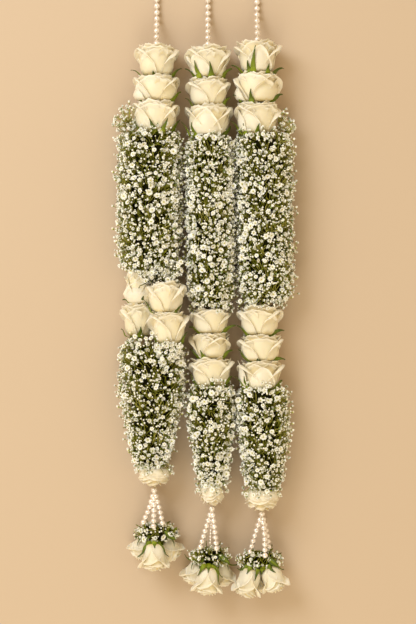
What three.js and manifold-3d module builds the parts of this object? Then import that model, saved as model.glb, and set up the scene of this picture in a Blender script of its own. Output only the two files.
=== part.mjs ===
// A fresh flower lei of three garland strands, laid on its back on a table.
// Each strand has a beaded hanging string, a stack of white roses, a long sleeve of gypsophila,
// a second group of roses, a tapering sleeve of gypsophila, a face-down cap rose and a beaded
// tassel that ends in three small roses. The three hanging strings meet in one knotted loop.
// Millimetres. X runs across the strands, Y up them towards the loop, Z up from the table.
import * as THREE from "three";
import { mergeVertices } from "three/addons/utils/BufferGeometryUtils.js";
import Module from "manifold-3d";

const wasm = await Module();
wasm.setup();

// ---------------------------------------------------------------- driving dimensions

const clearance = 0.4; // between pieces that touch
const axisHeight = 28.5; // of every strand above the table
const threadRadius = 0.8;
const threadBore = 1.4; // through the green stem cores
const sleeveBore = 1.7; // through the gypsophila
const stemRadius = 2.7; // of the green core inside a rose stack
const roseBore = stemRadius + 0.5;
const petalColumns = 12;
const columnsPerPetal = 3;
const sepalCount = 5;
const calyx = { neck: 7, receptacle: 6.2, drop: 1.9, sepalRise: 7.5 }; // under every rose

const sleeveColumns = 15; // florets round a gypsophila sleeve
const sleeveRise = 2.5; // of the sleeves' florets over the strand's own radius
const standingFloret = { radius: 5.5, stalk: 14 };
const tuftRoot = 0.6; // how far out of a sleeve's middle its tufts start, as a share
const socket = { bottom: 5, mouth: 16, depth: 20 }; // where a green core stands in a sleeve
const table = { width: 200, depth: 20 };

const stringBead = { radius: 3.8, pitch: 8.8, count: 8 };
const tasselBead = { radius: 3.2, pitch: 7.2 };
const tasselTopBead = 4.1;
const tasselSag = 6; // of the pearl strands between cap rose and collar

const knot = { y: 452, radius: 4, loopRadius: 10, loopThread: 1.1, turnIn: 402 };

const collar = { below: 5, length: 16, halfWidth: 27, halfHeight: 22, z: 24, florets: 4 };
const crown = { radius: 3.2, top: 8, bottom: -10, armRadius: 2.4 }; // green heart of a tassel
const tasselLeaf = { width: 7, thickness: 2 };

// A strand's axis is a straight line across the table from top to cap. Along it, a rose is
// [base y, height, radius, spin in turns], a sleeve's offset is how far its middle lies to the
// right of the axis, and a tuft is [angle in turns, share of the sleeve's length, reach].
const strands = [
  {
    name: "left",
    top: { x: -64.5, y: 334 },
    cap: { x: -67.5, y: -197, length: 22, radius: 18.5 },
    topRoses: [
      [228, 36.5, 27.5, 0.1],
      [266, 29.5, 27, 0.45],
      [297, 37, 25.5, 0.8],
    ],
    upperSleeve: { from: 49, to: 226, offset: -7.9, halfWidth: 41, taper: 0.9 },
    middleColumns: [
      {
        offset: -20.6,
        z: 20.6,
        roses: [
          [-27.5, 38, 20, 0.2],
          [12, 35, 19.5, 0.55],
        ],
      },
      {
        offset: 17,
        z: 46,
        roses: [
          [-36.5, 37, 23, 0.35],
          [2, 35.5, 22.5, 0.7],
        ],
      },
    ],
    lowerSleeve: { from: -196, to: -38, offset: -3.9, halfWidth: 42, taper: 0.5 },
    tassel: { x: -67.5, beadY: -223, collarY: -276, frontRoses: 1 },
    tufts: [
      [-0.25, 0.97, 32],
      [-0.21, 0.95, 24],
      [-0.17, 0.97, 18],
    ],
  },
  {
    name: "middle",
    top: { x: 0, y: 333 },
    cap: { x: 5, y: -219, length: 24, radius: 15 },
    topRoses: [
      [222, 36.5, 28, 0],
      [260, 33, 27, 0.3],
      [295, 37.5, 25.5, 0.62],
    ],
    upperSleeve: { from: 6.5, to: 220, offset: 1.2, halfWidth: 30.5, taper: 0.95 },
    middleColumns: [
      {
        offset: 0,
        z: axisHeight,
        roses: [
          [-91, 34, 25.5, 0.15],
          [-55.5, 29.5, 25, 0.5],
          [-24.5, 29, 25.5, 0.85],
        ],
      },
    ],
    lowerSleeve: { from: -218, to: -93, offset: 0, halfWidth: 30, taper: 0.56 },
    tassel: { x: 3, beadY: -246.5, collarY: -304, frontRoses: 1 },
    tufts: [],
  },
  {
    name: "right",
    top: { x: 62, y: 339 },
    cap: { x: 67.5, y: -224, length: 25, radius: 19.5 },
    topRoses: [
      [225, 38, 28, 0.05],
      [265, 34.5, 28, 0.5],
      [301, 37.5, 27.5, 0.25],
    ],
    upperSleeve: { from: 11, to: 223, offset: 7.3, halfWidth: 36, taper: 0.95 },
    middleColumns: [
      {
        offset: 0,
        z: axisHeight,
        roses: [
          [-94, 33, 27, 0.9],
          [-59.5, 31, 26.5, 0.4],
          [-27, 35, 26, 0.7],
        ],
      },
    ],
    lowerSleeve: { from: -223, to: -96, offset: 2.6, halfWidth: 34, taper: 0.62 },
    tassel: { x: 66, beadY: -252.5, collarY: -307, frontRoses: 2 },
    tufts: [
      [0.2, 0.97, 24],
      [0.26, 0.93, 16],
    ],
  },
];

const finishes = {
  petal: { color: 0xf3ecd2, roughness: 0.6, metalness: 0 },
  capPetal: { color: 0xf0e7cb, roughness: 0.6, metalness: 0 },
  gypsophila: { color: 0xdfe3c8, roughness: 0.75, metalness: 0 },
  sepal: { color: 0x4f7424, roughness: 0.55, metalness: 0 },
  pearl: { color: 0xf6efe6, roughness: 0.15, metalness: 0 },
  thread: { color: 0xe9dfca, roughness: 0.7, metalness: 0 },
};

// ---------------------------------------------------------------- helpers

// A seeded random number source, from 0 to 1.
function randomSource(seed) {
  let state = seed >>> 0;
  return () => {
    state = (Math.imul(state, 1664525) + 1013904223) >>> 0;
    return state / 4294967296;
  };
}

// The geometry with positions only and its shared vertices merged.
function welded(geometry) {
  const bare = geometry.clone();
  bare.deleteAttribute("normal");
  bare.deleteAttribute("uv");
  return mergeVertices(bare, 1e-4);
}

function solidOf(geometry) {
  const merged = welded(geometry);
  return new wasm.Manifold(
    new wasm.Mesh({
      numProp: 3,
      vertProperties: new Float32Array(merged.attributes.position.array),
      triVerts: new Uint32Array(merged.index.array),
    }),
  );
}

function geometryOf(solid) {
  const mesh = solid.getMesh();
  const geometry = new THREE.BufferGeometry();
  geometry.setAttribute("position", new THREE.BufferAttribute(mesh.vertProperties, mesh.numProp));
  geometry.setIndex(new THREE.BufferAttribute(mesh.triVerts, 1));
  return geometry;
}

function union(solids) {
  return solids.reduce((sum, piece) => sum.add(piece));
}

function lathe(profile, segments) {
  const points = profile.map(([radius, height]) => new THREE.Vector2(radius, height));
  return new THREE.LatheGeometry(points, segments);
}

// Calls move(vertex, column, ring) on every vertex of a lathe and keeps what it does to the vertex.
function reshape(geometry, ringCount, segments, move) {
  const position = geometry.attributes.position;
  const vertex = new THREE.Vector3();
  for (let i = 0; i < position.count; i++) {
    vertex.fromBufferAttribute(position, i);
    move(vertex, Math.floor(i / ringCount) % segments, i % ringCount);
    position.setXYZ(i, vertex.x, vertex.y, vertex.z);
  }
  return geometry;
}

function bezier(points, t) {
  if (points.length === 1) return points[0].clone();
  const shorter = points.slice(1).map((p, i) => points[i].clone().lerp(p, t));
  return bezier(shorter, t);
}

const mesh = (name, geometry, finish) => {
  const made = new THREE.Mesh(geometry, new THREE.MeshStandardMaterial(finishes[finish]));
  made.name = name;
  return made;
};

// ---------------------------------------------------------------- roses

// Rings of a rose from its base to its heart: shares of the radius and of the height,
// and how deep the overlapping petals step there.
const roseRings = [
  [0.3, 0.02, 0],
  [0.8, 0.2, 0.05],
  [0.94, 0.58, 0.09],
  [1, 0.96, 0.1],
  [0.7, 0.84, 0.04],
  [0.46, 1, 0.12],
];
const heartDepth = 0.8;

// Each petal spans three columns; its leading edge stands out and its trailing edge is tucked in.
function stepPetals(height, steps) {
  return (vertex, column, ring) => {
    const depth = steps[ring] ?? 0;
    const place = ((column + ring) % columnsPerPetal) / (columnsPerPetal - 1) - 0.5;
    const scale = 1 + depth * place;
    vertex.x *= scale;
    vertex.z *= scale;
    if (depth > 0.09) vertex.y -= 0.5 * depth * height * (0.5 - place);
  };
}

// A bloom of these rings, opening towards +Y, with a bore through its heart if one is given.
function bloomOf(rings, radius, height, bore, depth) {
  const heart = [bore, depth * height];
  const outside = rings.map(([r, h]) => [r * radius, h * height]);
  const profile = bore ? [[bore, 0], ...outside, heart, [bore, 0]] : [[0, 0], ...outside, heart];
  const steps = [0, ...rings.map(([, , step]) => step), 0, 0];
  const shape = lathe(profile, petalColumns);
  return welded(reshape(shape, profile.length, petalColumns, stepPetals(height, steps)));
}

function rose(radius, height) {
  return bloomOf(roseRings, radius, height, roseBore, heartDepth);
}

// A small trumpet-shaped rose with no bore.
function tasselRose(radius, height) {
  const rings = [
    [0.34, 0.03, 0],
    [0.68, 0.25, 0.06],
    [0.8, 0.62, 0.1],
    [1, 0.94, 0.14],
    [0.62, 0.84, 0.04],
    [0.4, 1, 0.1],
  ];
  return bloomOf(rings, radius, height, 0, 0.8);
}

// A short ruffled rose, opening towards +Y, its outer petals curled in round the heart.
function capRose(radius, height) {
  const rings = [
    [0.62, 0, 0],
    [0.98, 0.32, 0.08],
    [0.86, 0.66, 0.12],
    [0.66, 0.9, 0.1],
    [0.34, 1, 0.08],
  ];
  return bloomOf(rings, radius, height, sleeveBore, 0.86);
}

// ---------------------------------------------------------------- calyxes and leaves

// Rings of one calyx under a rose of this radius: each is [radius, height] between the sepals and,
// where a sepal crosses it, [radius, height] on the sepal. Heights are from the rose's base, and
// the sepals end at reach, a share of the rose's radius.
function calyxRings(roseRadius, reach) {
  const notch = [calyx.receptacle + 0.2, 0.8 - calyx.drop];
  return [
    [[stemRadius, -calyx.neck]],
    [[calyx.receptacle, -calyx.drop]],
    [notch, [0.6 * roseRadius, -0.1]],
    [notch, [reach * roseRadius, calyx.sepalRise]],
    [notch, [0.58 * roseRadius, 0.6]],
    [[stemRadius, -clearance]],
  ];
}

// The lathe of a profile of calyx rings, with its sepals standing out.
function calyxLathe(rings, spin) {
  const columns = 2 * sepalCount;
  const shape = lathe(rings.map(([notch]) => notch), columns);
  return reshape(shape, rings.length, columns, (vertex, column, ring) => {
    const [notch, tip] = rings[ring];
    const [radius, height] = (column % 2 === 0 && tip) || notch;
    const turn = 2 * Math.PI * (spin + column / columns);
    vertex.set(Math.sin(turn) * radius, height, Math.cos(turn) * radius);
  });
}

// The green core, receptacles and sepals of one stack of roses, round +Y. Sepals that would reach
// below the table are bent to lie on it.
function calyxStack(roses, heightAboveTable) {
  const rings = roses.flatMap(([y, , radius]) =>
    calyxRings(radius, 1.1).map((ring) => ring.map(([r, h]) => [r, h + y])),
  );
  const stemTop = heartOf(roses[roses.length - 1]);
  const stemBottom = roses[0][0] - calyx.neck;
  rings.push([[stemRadius, stemTop]], [[threadBore, stemTop]]);
  rings.push([[threadBore, stemBottom]], [[stemRadius, stemBottom]]);
  const shape = calyxLathe(rings, roses[0][3]);
  const position = shape.attributes.position;
  for (let i = 0; i < position.count; i++) {
    position.setZ(i, Math.max(position.getZ(i), 0.1 - heightAboveTable));
  }
  return welded(shape);
}

// A tapering blade along three control points, its width lying along across.
function blade(points, across, width, thickness) {
  const length = points[0].distanceTo(points[2]);
  const cone = new THREE.ConeGeometry(0.5, length, 3, 2);
  cone.translate(0, length / 2, 0);
  const position = cone.attributes.position;
  const vertex = new THREE.Vector3();
  for (let i = 0; i < position.count; i++) {
    vertex.fromBufferAttribute(position, i);
    const t = vertex.y / length;
    const centre = bezier(points, t);
    const along = bezier(points, Math.min(t + 0.01, 1)).sub(bezier(points, Math.max(t - 0.01, 0)));
    const normal = across.clone().cross(along).normalize();
    centre.addScaledVector(across, vertex.x * width);
    centre.addScaledVector(normal, vertex.z * thickness);
    position.setXYZ(i, centre.x, centre.y, centre.z);
  }
  return solidOf(cone);
}

// ---------------------------------------------------------------- gypsophila

// A five-sided floret with a long tapering stalk: its face at the given point, looking outward.
function floret(at, outward, radius, stalk) {
  const profile = [
    [0, -stalk],
    [radius, 0],
    [0, 0.3 * radius],
  ];
  const shape = lathe(profile, 5);
  const turn = new THREE.Quaternion().setFromUnitVectors(new THREE.Vector3(0, 1, 0), outward);
  shape.applyMatrix4(new THREE.Matrix4().compose(at, turn, new THREE.Vector3(1, 1, 1)));
  return solidOf(shape);
}

// A sleeve of gypsophila between two heights: a triangular lattice wrapped round an oval, with
// every third point raised as the tip of a floret. swell(t) gives the share of the full size
// at t from 0, the lower end, to 1.
function sleeve({ length, halfWidth, halfHeight, columns, rows, swell, seed }) {
  const random = randomSource(seed);
  const profile = [[0, 0]];
  for (let row = 0; row <= rows; row++) profile.push([1, (length * row) / rows]);
  profile.push([0, length]);
  const raise = Array.from({ length: columns * profile.length }, () => random());
  const shape = lathe(profile, columns);
  reshape(shape, profile.length, columns, (vertex, column, ring) => {
    const onSide = ring > 0 && ring < profile.length - 1;
    if (!onSide) return;
    const turn = (2 * Math.PI * (column + ring / 2)) / columns;
    const raised = (((column - ring) % 3) + 3) % 3 === 0;
    const chance = raise[column * profile.length + ring];
    const share = swell(vertex.y / length) * (raised ? 0.9 + 0.1 * chance : 0.7 + 0.06 * chance);
    vertex.x = Math.sin(turn) * share * halfWidth;
    vertex.z = Math.cos(turn) * share * halfHeight;
    const inner = ring > 1 && ring < profile.length - 2;
    if (raised && inner) vertex.y += (chance - 0.5) * 0.4 * (length / rows);
  });
  return solidOf(shape);
}

// A box that takes off what lies under the table, for a piece whose origin is this high above it.
function underTable(length, height) {
  const box = new THREE.BoxGeometry(table.width, 2 * length, table.depth);
  box.translate(0, length / 2, -height - table.depth / 2);
  return solidOf(box);
}

function rod(radius, from, to, sides = 6, radiusTo = radius) {
  const length = from.distanceTo(to);
  const shape = new THREE.CylinderGeometry(radiusTo, radius, length, sides);
  shape.translate(0, length / 2, 0);
  const along = to.clone().sub(from).normalize();
  const turn = new THREE.Quaternion().setFromUnitVectors(new THREE.Vector3(0, 1, 0), along);
  shape.applyMatrix4(new THREE.Matrix4().compose(from, turn, new THREE.Vector3(1, 1, 1)));
  return solidOf(shape);
}

// One sleeve of a strand with its thread bore, its sockets for the green stems at the upper end,
// some florets that stand out and its tufts. It is placed at its lower end, on its own middle.
function gypsophilaSleeve(spec, { columns, seed, columnsAbove, tufts, fullAt, standing }) {
  const length = spec.to - spec.from;
  const spacing = (Math.PI * (spec.halfWidth + axisHeight)) / columns;
  const rows = Math.round(length / (0.87 * spacing));
  const swell = (t) => {
    const body = THREE.MathUtils.lerp(spec.taper, 1, Math.min(t / fullAt, 1));
    return body * Math.min(0.62 + t * 4, 1) * Math.min(0.66 + (1 - t) * 4, 1);
  };
  const halfHeight = axisHeight + sleeveRise;
  let made = sleeve({ length, halfWidth: spec.halfWidth, halfHeight, columns, rows, swell, seed });
  const random = randomSource(seed + 7);
  for (let k = 0; k < standing; k++) {
    const t = 0.08 + (0.86 * (k + random())) / standing;
    const turn = (k % 2 ? 1 : -1) * Math.PI * (0.12 + 0.42 * random());
    const outward = new THREE.Vector3(Math.sin(turn), 0.2 * (random() - 0.5), Math.cos(turn));
    const reach = swell(t) * 0.96;
    const at = new THREE.Vector3(outward.x * spec.halfWidth, 0, outward.z * axisHeight);
    at.multiplyScalar(reach).setY(t * length);
    const { radius, stalk } = standingFloret;
    made = made.add(floret(at, outward.normalize(), radius + random(), stalk));
  }
  for (const [turns, t, reach] of tufts) {
    const turn = 2 * Math.PI * turns;
    const outward = new THREE.Vector3(Math.sin(turn) * 0.35, 0.85, Math.cos(turn) * 0.1).normalize();
    const at = new THREE.Vector3(Math.sin(turn) * spec.halfWidth, t * length, Math.cos(turn) * axisHeight);
    at.x *= tuftRoot;
    at.z *= tuftRoot;
    at.addScaledVector(outward, reach);
    made = made.add(floret(at, outward, standingFloret.radius, reach + 8));
  }
  made = made.subtract(underTable(length, axisHeight));
  const boreFrom = new THREE.Vector3(-spec.offset, -5, 0);
  const boreTo = new THREE.Vector3(-spec.offset, length + 5, 0);
  made = made.subtract(rod(sleeveBore, boreFrom, boreTo));
  for (const { offset, z, roses } of columnsAbove) {
    const base = roses[0][0] - spec.from;
    const bottom = new THREE.Vector3(offset - spec.offset, base - calyx.neck - 1, z - axisHeight);
    const mouth = bottom.clone().setY(bottom.y + socket.depth);
    made = made.subtract(rod(socket.bottom, bottom, mouth, 8, socket.mouth));
  }
  return geometryOf(made);
}

// ---------------------------------------------------------------- threads and beads

// Sweeps a lathe profile of [radius, distance] along a curve. The profile starts and ends at radius 0.
function sweptLathe(profile, sides, curve) {
  const length = curve.getLength();
  const shape = lathe(profile, sides);
  const side = new THREE.Vector3(1, 0, 0);
  return welded(
    reshape(shape, profile.length, sides, (vertex) => {
      const t = THREE.MathUtils.clamp(vertex.y / length, 0, 1);
      const along = curve.getTangentAt(t);
      const lift = new THREE.Vector3().crossVectors(side, along).normalize();
      const across = new THREE.Vector3().crossVectors(along, lift).normalize();
      const centre = curve.getPointAt(t);
      centre.addScaledVector(across, vertex.x).addScaledVector(lift, vertex.z);
      vertex.copy(centre);
    }),
  );
}

// A thread of this length with evenly spaced beads centred at the given distances along it.
function beadedProfile(length, beads, { radius, pitch }) {
  const bareStep = 9;
  const belt = 0.42 * radius;
  const profile = [
    [0, 0],
    [threadRadius, 0],
    [threadRadius, beads[0] - pitch / 2],
  ];
  for (const at of beads) {
    profile.push([0.97 * radius, at - belt], [0.97 * radius, at + belt], [threadRadius, at + pitch / 2]);
  }
  const end = beads[beads.length - 1] + pitch / 2;
  const steps = Math.round((length - end) / bareStep);
  for (let k = 1; k < steps; k++) profile.push([threadRadius, end + ((length - end) * k) / steps]);
  profile.push([threadRadius, length], [0, length]);
  return profile;
}

const smooth = (points) =>
  new THREE.CatmullRomCurve3(
    points.map((p) => new THREE.Vector3(...p)),
    false,
    "centripetal",
  );

// ---------------------------------------------------------------- the strands

const garland = new THREE.Group(); // the three strands and their tassels
const hanging = new THREE.Group(); // the free strings and their knot

const slopeOf = ({ top, cap }) => (top.x - cap.x) / (top.y - cap.y);
const axisX = (strand, y) => strand.top.x + slopeOf(strand) * (y - strand.top.y);
const heartOf = ([y, height]) => y + heartDepth * height - 1;

// A stack of roses on one green core, at an offset from the strand's axis.
function addStack(group, prefix, { offset, z, roses }) {
  roses.forEach(([y, height, radius, spin], i) => {
    const bloom = mesh(`${prefix}_rose_${i + 1}`, rose(radius, height), "petal");
    bloom.position.set(offset, y, z);
    bloom.rotation.y = 2 * Math.PI * spin;
    group.add(bloom);
  });
  const green = mesh(`${prefix}_calyx`, calyxStack(roses, z), "sepal");
  green.position.set(offset, 0, z);
  group.add(green);
}

function addSleeve(group, name, spec, options) {
  const made = mesh(name, gypsophilaSleeve(spec, options), "gypsophila");
  made.position.set(spec.offset, spec.from, axisHeight);
  group.add(made);
}

// The thread inside a strand, from the heart of its top rose to the first bead of its tassel.
function addGarlandThread(group, strand) {
  const upper = heartOf(strand.topRoses[2]);
  const lower = strand.tassel.beadY + tasselTopBead + clearance;
  const made = new THREE.CylinderGeometry(threadRadius, threadRadius, upper - lower, 6);
  const thread = mesh(`${strand.name}_garland_thread`, made, "thread");
  thread.position.set(0, (upper + lower) / 2, axisHeight);
  group.add(thread);
}

// The face-down cap rose that closes a strand.
function addCap(group, strand) {
  const { y, length, radius } = strand.cap;
  const cap = mesh(`${strand.name}_cap_rose`, capRose(radius, length), "capPetal");
  cap.position.set(0, y, axisHeight);
  cap.rotation.z = Math.PI;
  group.add(cap);
}

// Everything that is threaded on one strand's axis. The axis leans a little across the table.
function addStrand(strand, seed) {
  const group = new THREE.Group();
  group.position.x = axisX(strand, 0);
  group.rotation.z = -Math.atan(slopeOf(strand));
  garland.add(group);
  const topStack = { offset: 0, z: axisHeight, roses: strand.topRoses };
  addStack(group, `${strand.name}_top`, topStack);
  addSleeve(group, `${strand.name}_upper_gypsophila`, strand.upperSleeve, {
    columns: sleeveColumns,
    seed,
    columnsAbove: [topStack],
    tufts: strand.tufts,
    fullAt: 0.3,
    standing: 3,
  });
  strand.middleColumns.forEach((column, i) => {
    const side = strand.middleColumns.length > 1 ? ["_back", "_front"][i] : "";
    addStack(group, `${strand.name}_middle${side}`, column);
  });
  addSleeve(group, `${strand.name}_lower_gypsophila`, strand.lowerSleeve, {
    columns: sleeveColumns,
    seed: seed + 50,
    columnsAbove: strand.middleColumns,
    tufts: [],
    fullAt: 0.6,
    standing: 2,
  });
  addCap(group, strand);
  addGarlandThread(group, strand);
}

// ---------------------------------------------------------------- the hanging strings

// A string leaves the heart of the top rose, slopes down to the table, runs on beside the others
// and turns in to the knot, which it meets face to face.
function addString(strand) {
  const rim = strand.top.y;
  const x = axisX(strand, rim);
  const start = heartOf(strand.topRoses[2]) + clearance;
  const beadZ = stringBead.radius + 0.3;
  const towardsKnot = new THREE.Vector2(-x, knot.y - knot.turnIn).normalize();
  const end = new THREE.Vector2(0, knot.y).addScaledVector(towardsKnot, -knot.radius - clearance);
  const bareZ = threadRadius + 0.1;
  const curve = smooth([
    [x, start, axisHeight],
    [x, rim + 2, axisHeight - 0.5],
    [x, rim + 12, axisHeight - 5.5],
    [x, rim + 27, axisHeight - 15],
    [x, rim + 40, beadZ + 2.2],
    [x, rim + 52, beadZ],
    [x, knot.turnIn - 6, beadZ],
    [x + (end.x - x) * 0.12, knot.turnIn + 6, bareZ + 1],
    [x + (end.x - x) * 0.45, knot.turnIn + 20, bareZ],
    [end.x, end.y, knot.radius - 1],
  ]);
  const length = curve.getLength();
  const firstBead = rim + 2.5 - start;
  const beads = Array.from({ length: stringBead.count }, (_, k) => firstBead + k * stringBead.pitch);
  const profile = beadedProfile(length, beads, stringBead);
  hanging.add(mesh(`${strand.name}_pearl_string`, sweptLathe(profile, 5, curve), "pearl"));
}

// The knot that gathers the three strings, with the loop that the lei hangs by.
function addKnot() {
  const lump = new THREE.OctahedronGeometry(knot.radius, 1);
  lump.translate(0, 0, knot.radius);
  const loop = new THREE.TorusGeometry(knot.loopRadius, knot.loopThread, 5, 12);
  loop.translate(0, knot.loopRadius + 2, knot.loopThread);
  const made = mesh("hanging_knot", geometryOf(union([solidOf(lump), solidOf(loop)])), "thread");
  made.position.set(0, knot.y, 0);
  hanging.add(made);
}

// ---------------------------------------------------------------- tassels

// Where a tassel's three roses sit, from the middle of the collar: across, away from the strand
// and above the table. Two lie on the table with the third on top, or one lies under two.
function tasselLayout(frontRoses) {
  if (frontRoses === 1) {
    return [
      { base: [-9.5, 13, 15.6], lean: [-0.2, 1, 0], radius: 15.5, height: 29, spin: 0.25 },
      { base: [9.5, 13, 15.6], lean: [0.26, 1, 0], radius: 15.5, height: 29, spin: 0.75 },
      { base: [0, 14, 39], lean: [0, 1, 0.16], radius: 17, height: 34, spin: 0.5 },
    ];
  }
  return [
    { base: [-9.5, 14, 34], lean: [-0.2, 1, 0.1], radius: 17, height: 37, spin: 0.27 },
    { base: [10.5, 13, 31], lean: [0.36, 1, 0.12], radius: 16, height: 32, spin: 0.75 },
    { base: [-1, 14, 12.9], lean: [0, 1, 0.01], radius: 12, height: 31, spin: 0 },
  ];
}

// A lance-shaped leaf from the crown that lies between the collar and the roses.
function leaf(from, across, drop) {
  const tip = from.clone().add(new THREE.Vector3(across, drop, 0));
  const bend = from.clone().add(new THREE.Vector3(across / 2, 1.2, 1));
  return blade([from, bend, tip], new THREE.Vector3(0, 0, 1), tasselLeaf.width, tasselLeaf.thickness);
}

// The green crown of a tassel with its sepals and leaves, and its roses.
function addTasselRoses(tassel, strand) {
  const crownTop = new THREE.Vector3(0, crown.top, collar.z);
  const crownBottom = new THREE.Vector3(0, crown.bottom, collar.z);
  const green = [rod(crown.radius, crownBottom, crownTop)];
  tasselLayout(strand.tassel.frontRoses).forEach(({ base, lean, radius, height, spin }, i) => {
    const at = new THREE.Vector3(base[0], -base[1], base[2]);
    const direction = new THREE.Vector3(lean[0], -lean[1], lean[2]).normalize();
    const turn = new THREE.Quaternion().setFromUnitVectors(new THREE.Vector3(0, 1, 0), direction);
    const place = new THREE.Matrix4().compose(at, turn, new THREE.Vector3(1, 1, 1));
    const bloom = mesh(`${strand.name}_tassel_rose_${i + 1}`, tasselRose(radius, height), "petal");
    bloom.applyMatrix4(place);
    bloom.rotateY(2 * Math.PI * spin);
    tassel.add(bloom);
    const sepals = calyxRings(radius, 0.88).slice(1, -1);
    const hip = calyxLathe([[[0, -calyx.neck]], ...sepals, [[0, -clearance]]], spin);
    const armEnd = at.clone().addScaledVector(direction, -4);
    green.push(solidOf(hip.applyMatrix4(place)), rod(crown.armRadius, crownBottom, armEnd, 4));
  });
  const leafRoot = new THREE.Vector3(0, crown.bottom + 2, collar.z + 1);
  green.push(leaf(leafRoot, 30, -6), leaf(leafRoot, -26, -3));
  tassel.add(mesh(`${strand.name}_tassel_calyx`, geometryOf(union(green)), "sepal"));
}

// The ring of gypsophila over a tassel's roses, with sockets for the crown and the pearl strands.
function collarSolid(ends, seed) {
  const swell = (t) => Math.sqrt(Math.max(1 - (2 * t - 1) ** 2 * 0.75, 0.1));
  let made = sleeve({ ...collar, columns: 12, rows: 3, swell, seed });
  const random = randomSource(seed + 3);
  for (let k = 0; k < collar.florets; k++) {
    const turn = Math.PI * (-0.62 + (1.24 * (k + 0.5)) / collar.florets);
    const outward = new THREE.Vector3(Math.sin(turn), 0.4 * random(), Math.cos(turn)).normalize();
    const at = new THREE.Vector3(
      Math.sin(turn) * (collar.halfWidth - 1),
      4 + 5 * random(),
      Math.cos(turn) * (collar.halfHeight - 1),
    );
    made = made.add(floret(at, outward, standingFloret.radius, collar.length));
  }
  const boreBottom = new THREE.Vector3(0, -5, 0);
  const boreTop = new THREE.Vector3(0, collar.length - 2, 0);
  made = made.subtract(rod(crown.radius + clearance, boreBottom, boreTop));
  for (const [x, z] of ends) {
    const mouth = new THREE.Vector3(x, collar.length + 5, z - collar.z);
    const bottom = new THREE.Vector3(x, collar.length - 7, z - collar.z);
    made = made.subtract(rod(threadBore, bottom, mouth, 6, 3.6));
  }
  return made;
}

// A whole tassel: its roses, its collar and its pearls.
function addTassel(strand, seed) {
  const { collarY, x, frontRoses } = strand.tassel;
  const tassel = new THREE.Group();
  tassel.position.set(x, collarY, 0);
  garland.add(tassel);
  addTasselRoses(tassel, strand);
  const ends = pearlEnds(frontRoses);
  const ring = geometryOf(collarSolid(ends, seed));
  const placed = mesh(`${strand.name}_tassel_gypsophila`, ring, "gypsophila");
  placed.position.set(0, -collar.below, collar.z);
  tassel.add(placed);
  addTasselPearls(strand, ends, collarY - collar.below + collar.length - 6);
}

// Where the three pearl strands enter the top of a collar: across and above the table.
function pearlEnds(frontRoses) {
  return frontRoses === 1
    ? [
        [-13, 20],
        [0.5, 32],
        [10, 21],
      ]
    : [
        [-13, 28],
        [7, 20],
        [3, 35],
      ];
}

// Three pearl strands that fan out from one larger bead under the cap rose to the collar.
function addTasselPearls(strand, ends, endY) {
  const { x, beadY } = strand.tassel;
  const start = new THREE.Vector3(strand.cap.x, beadY, axisHeight);
  const top = new THREE.OctahedronGeometry(tasselTopBead, 1);
  top.translate(start.x, start.y, start.z);
  const pieces = [solidOf(top)];
  ends.forEach(([ex, ez], i) => {
    const end = new THREE.Vector3(x + ex, endY, ez);
    const straightEnd = end.clone().setY(endY + 8);
    const middle = start.clone().lerp(end, 0.5);
    middle.z -= tasselSag;
    const curve = smooth([start.toArray(), middle.toArray(), straightEnd.toArray(), end.toArray()]);
    const length = curve.getLength();
    const first = tasselTopBead + tasselBead.radius + (i === 1 ? 3.6 : 0.6);
    const count = Math.floor((length - 11.5 - first) / tasselBead.pitch) + 1;
    const beads = Array.from({ length: count }, (_, k) => first + k * tasselBead.pitch);
    pieces.push(solidOf(sweptLathe(beadedProfile(length, beads, tasselBead), 5, curve)));
  });
  garland.add(mesh(`${strand.name}_tassel_pearls`, geometryOf(union(pieces)), "pearl"));
}

// ---------------------------------------------------------------- assembly

strands.forEach((strand, i) => {
  addStrand(strand, 11 + 100 * i);
  addString(strand);
  addTassel(strand, 61 + 100 * i);
});
addKnot();

// The part's origin is under the middle of the three strands, on the table.
const centre = new THREE.Box3().setFromObject(garland, true).getCenter(new THREE.Vector3());
const lei = new THREE.Group();
for (const half of [garland, hanging]) {
  half.position.set(-centre.x, -centre.y, 0);
  lei.add(half);
}

export default lei;
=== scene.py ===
"""A fresh flower lei: three strands of white roses and gypsophila with pearl tassels, laid flat.

Metres. X runs across the strands, Y up them towards the hanging loop, Z up from the table.
"""

import math
from dataclasses import dataclass

import bpy
import numpy as np
from mathutils import Matrix, Vector


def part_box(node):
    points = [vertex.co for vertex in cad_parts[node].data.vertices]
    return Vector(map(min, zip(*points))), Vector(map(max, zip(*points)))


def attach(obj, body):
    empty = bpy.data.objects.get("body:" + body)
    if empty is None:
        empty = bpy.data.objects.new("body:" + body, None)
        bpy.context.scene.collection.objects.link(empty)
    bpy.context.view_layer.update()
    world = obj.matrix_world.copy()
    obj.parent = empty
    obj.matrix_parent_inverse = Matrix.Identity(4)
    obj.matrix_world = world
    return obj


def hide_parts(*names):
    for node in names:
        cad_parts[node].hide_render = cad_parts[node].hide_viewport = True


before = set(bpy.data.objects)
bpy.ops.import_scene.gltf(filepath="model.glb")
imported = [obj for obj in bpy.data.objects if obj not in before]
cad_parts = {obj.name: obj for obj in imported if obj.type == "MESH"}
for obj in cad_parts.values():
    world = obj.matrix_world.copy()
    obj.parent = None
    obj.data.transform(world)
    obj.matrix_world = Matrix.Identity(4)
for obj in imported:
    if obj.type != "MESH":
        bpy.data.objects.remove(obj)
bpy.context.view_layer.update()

# ------------------------------------------------------------------ sizes

BODY = "root"
AXIS_HEIGHT = 0.0285            # of every strand above the table
VIEW_CENTRE = (0.0044, 0.0101)  # the point of the table that the camera looks at
VIEW_HEIGHT = 0.780             # of the table seen from top to bottom of the picture
CAMERA_HEIGHT = 2.60
LEI_MIDDLE = 0.035              # height of the plane that VIEW_HEIGHT is measured in
TABLE_REACH = 6.0

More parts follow.
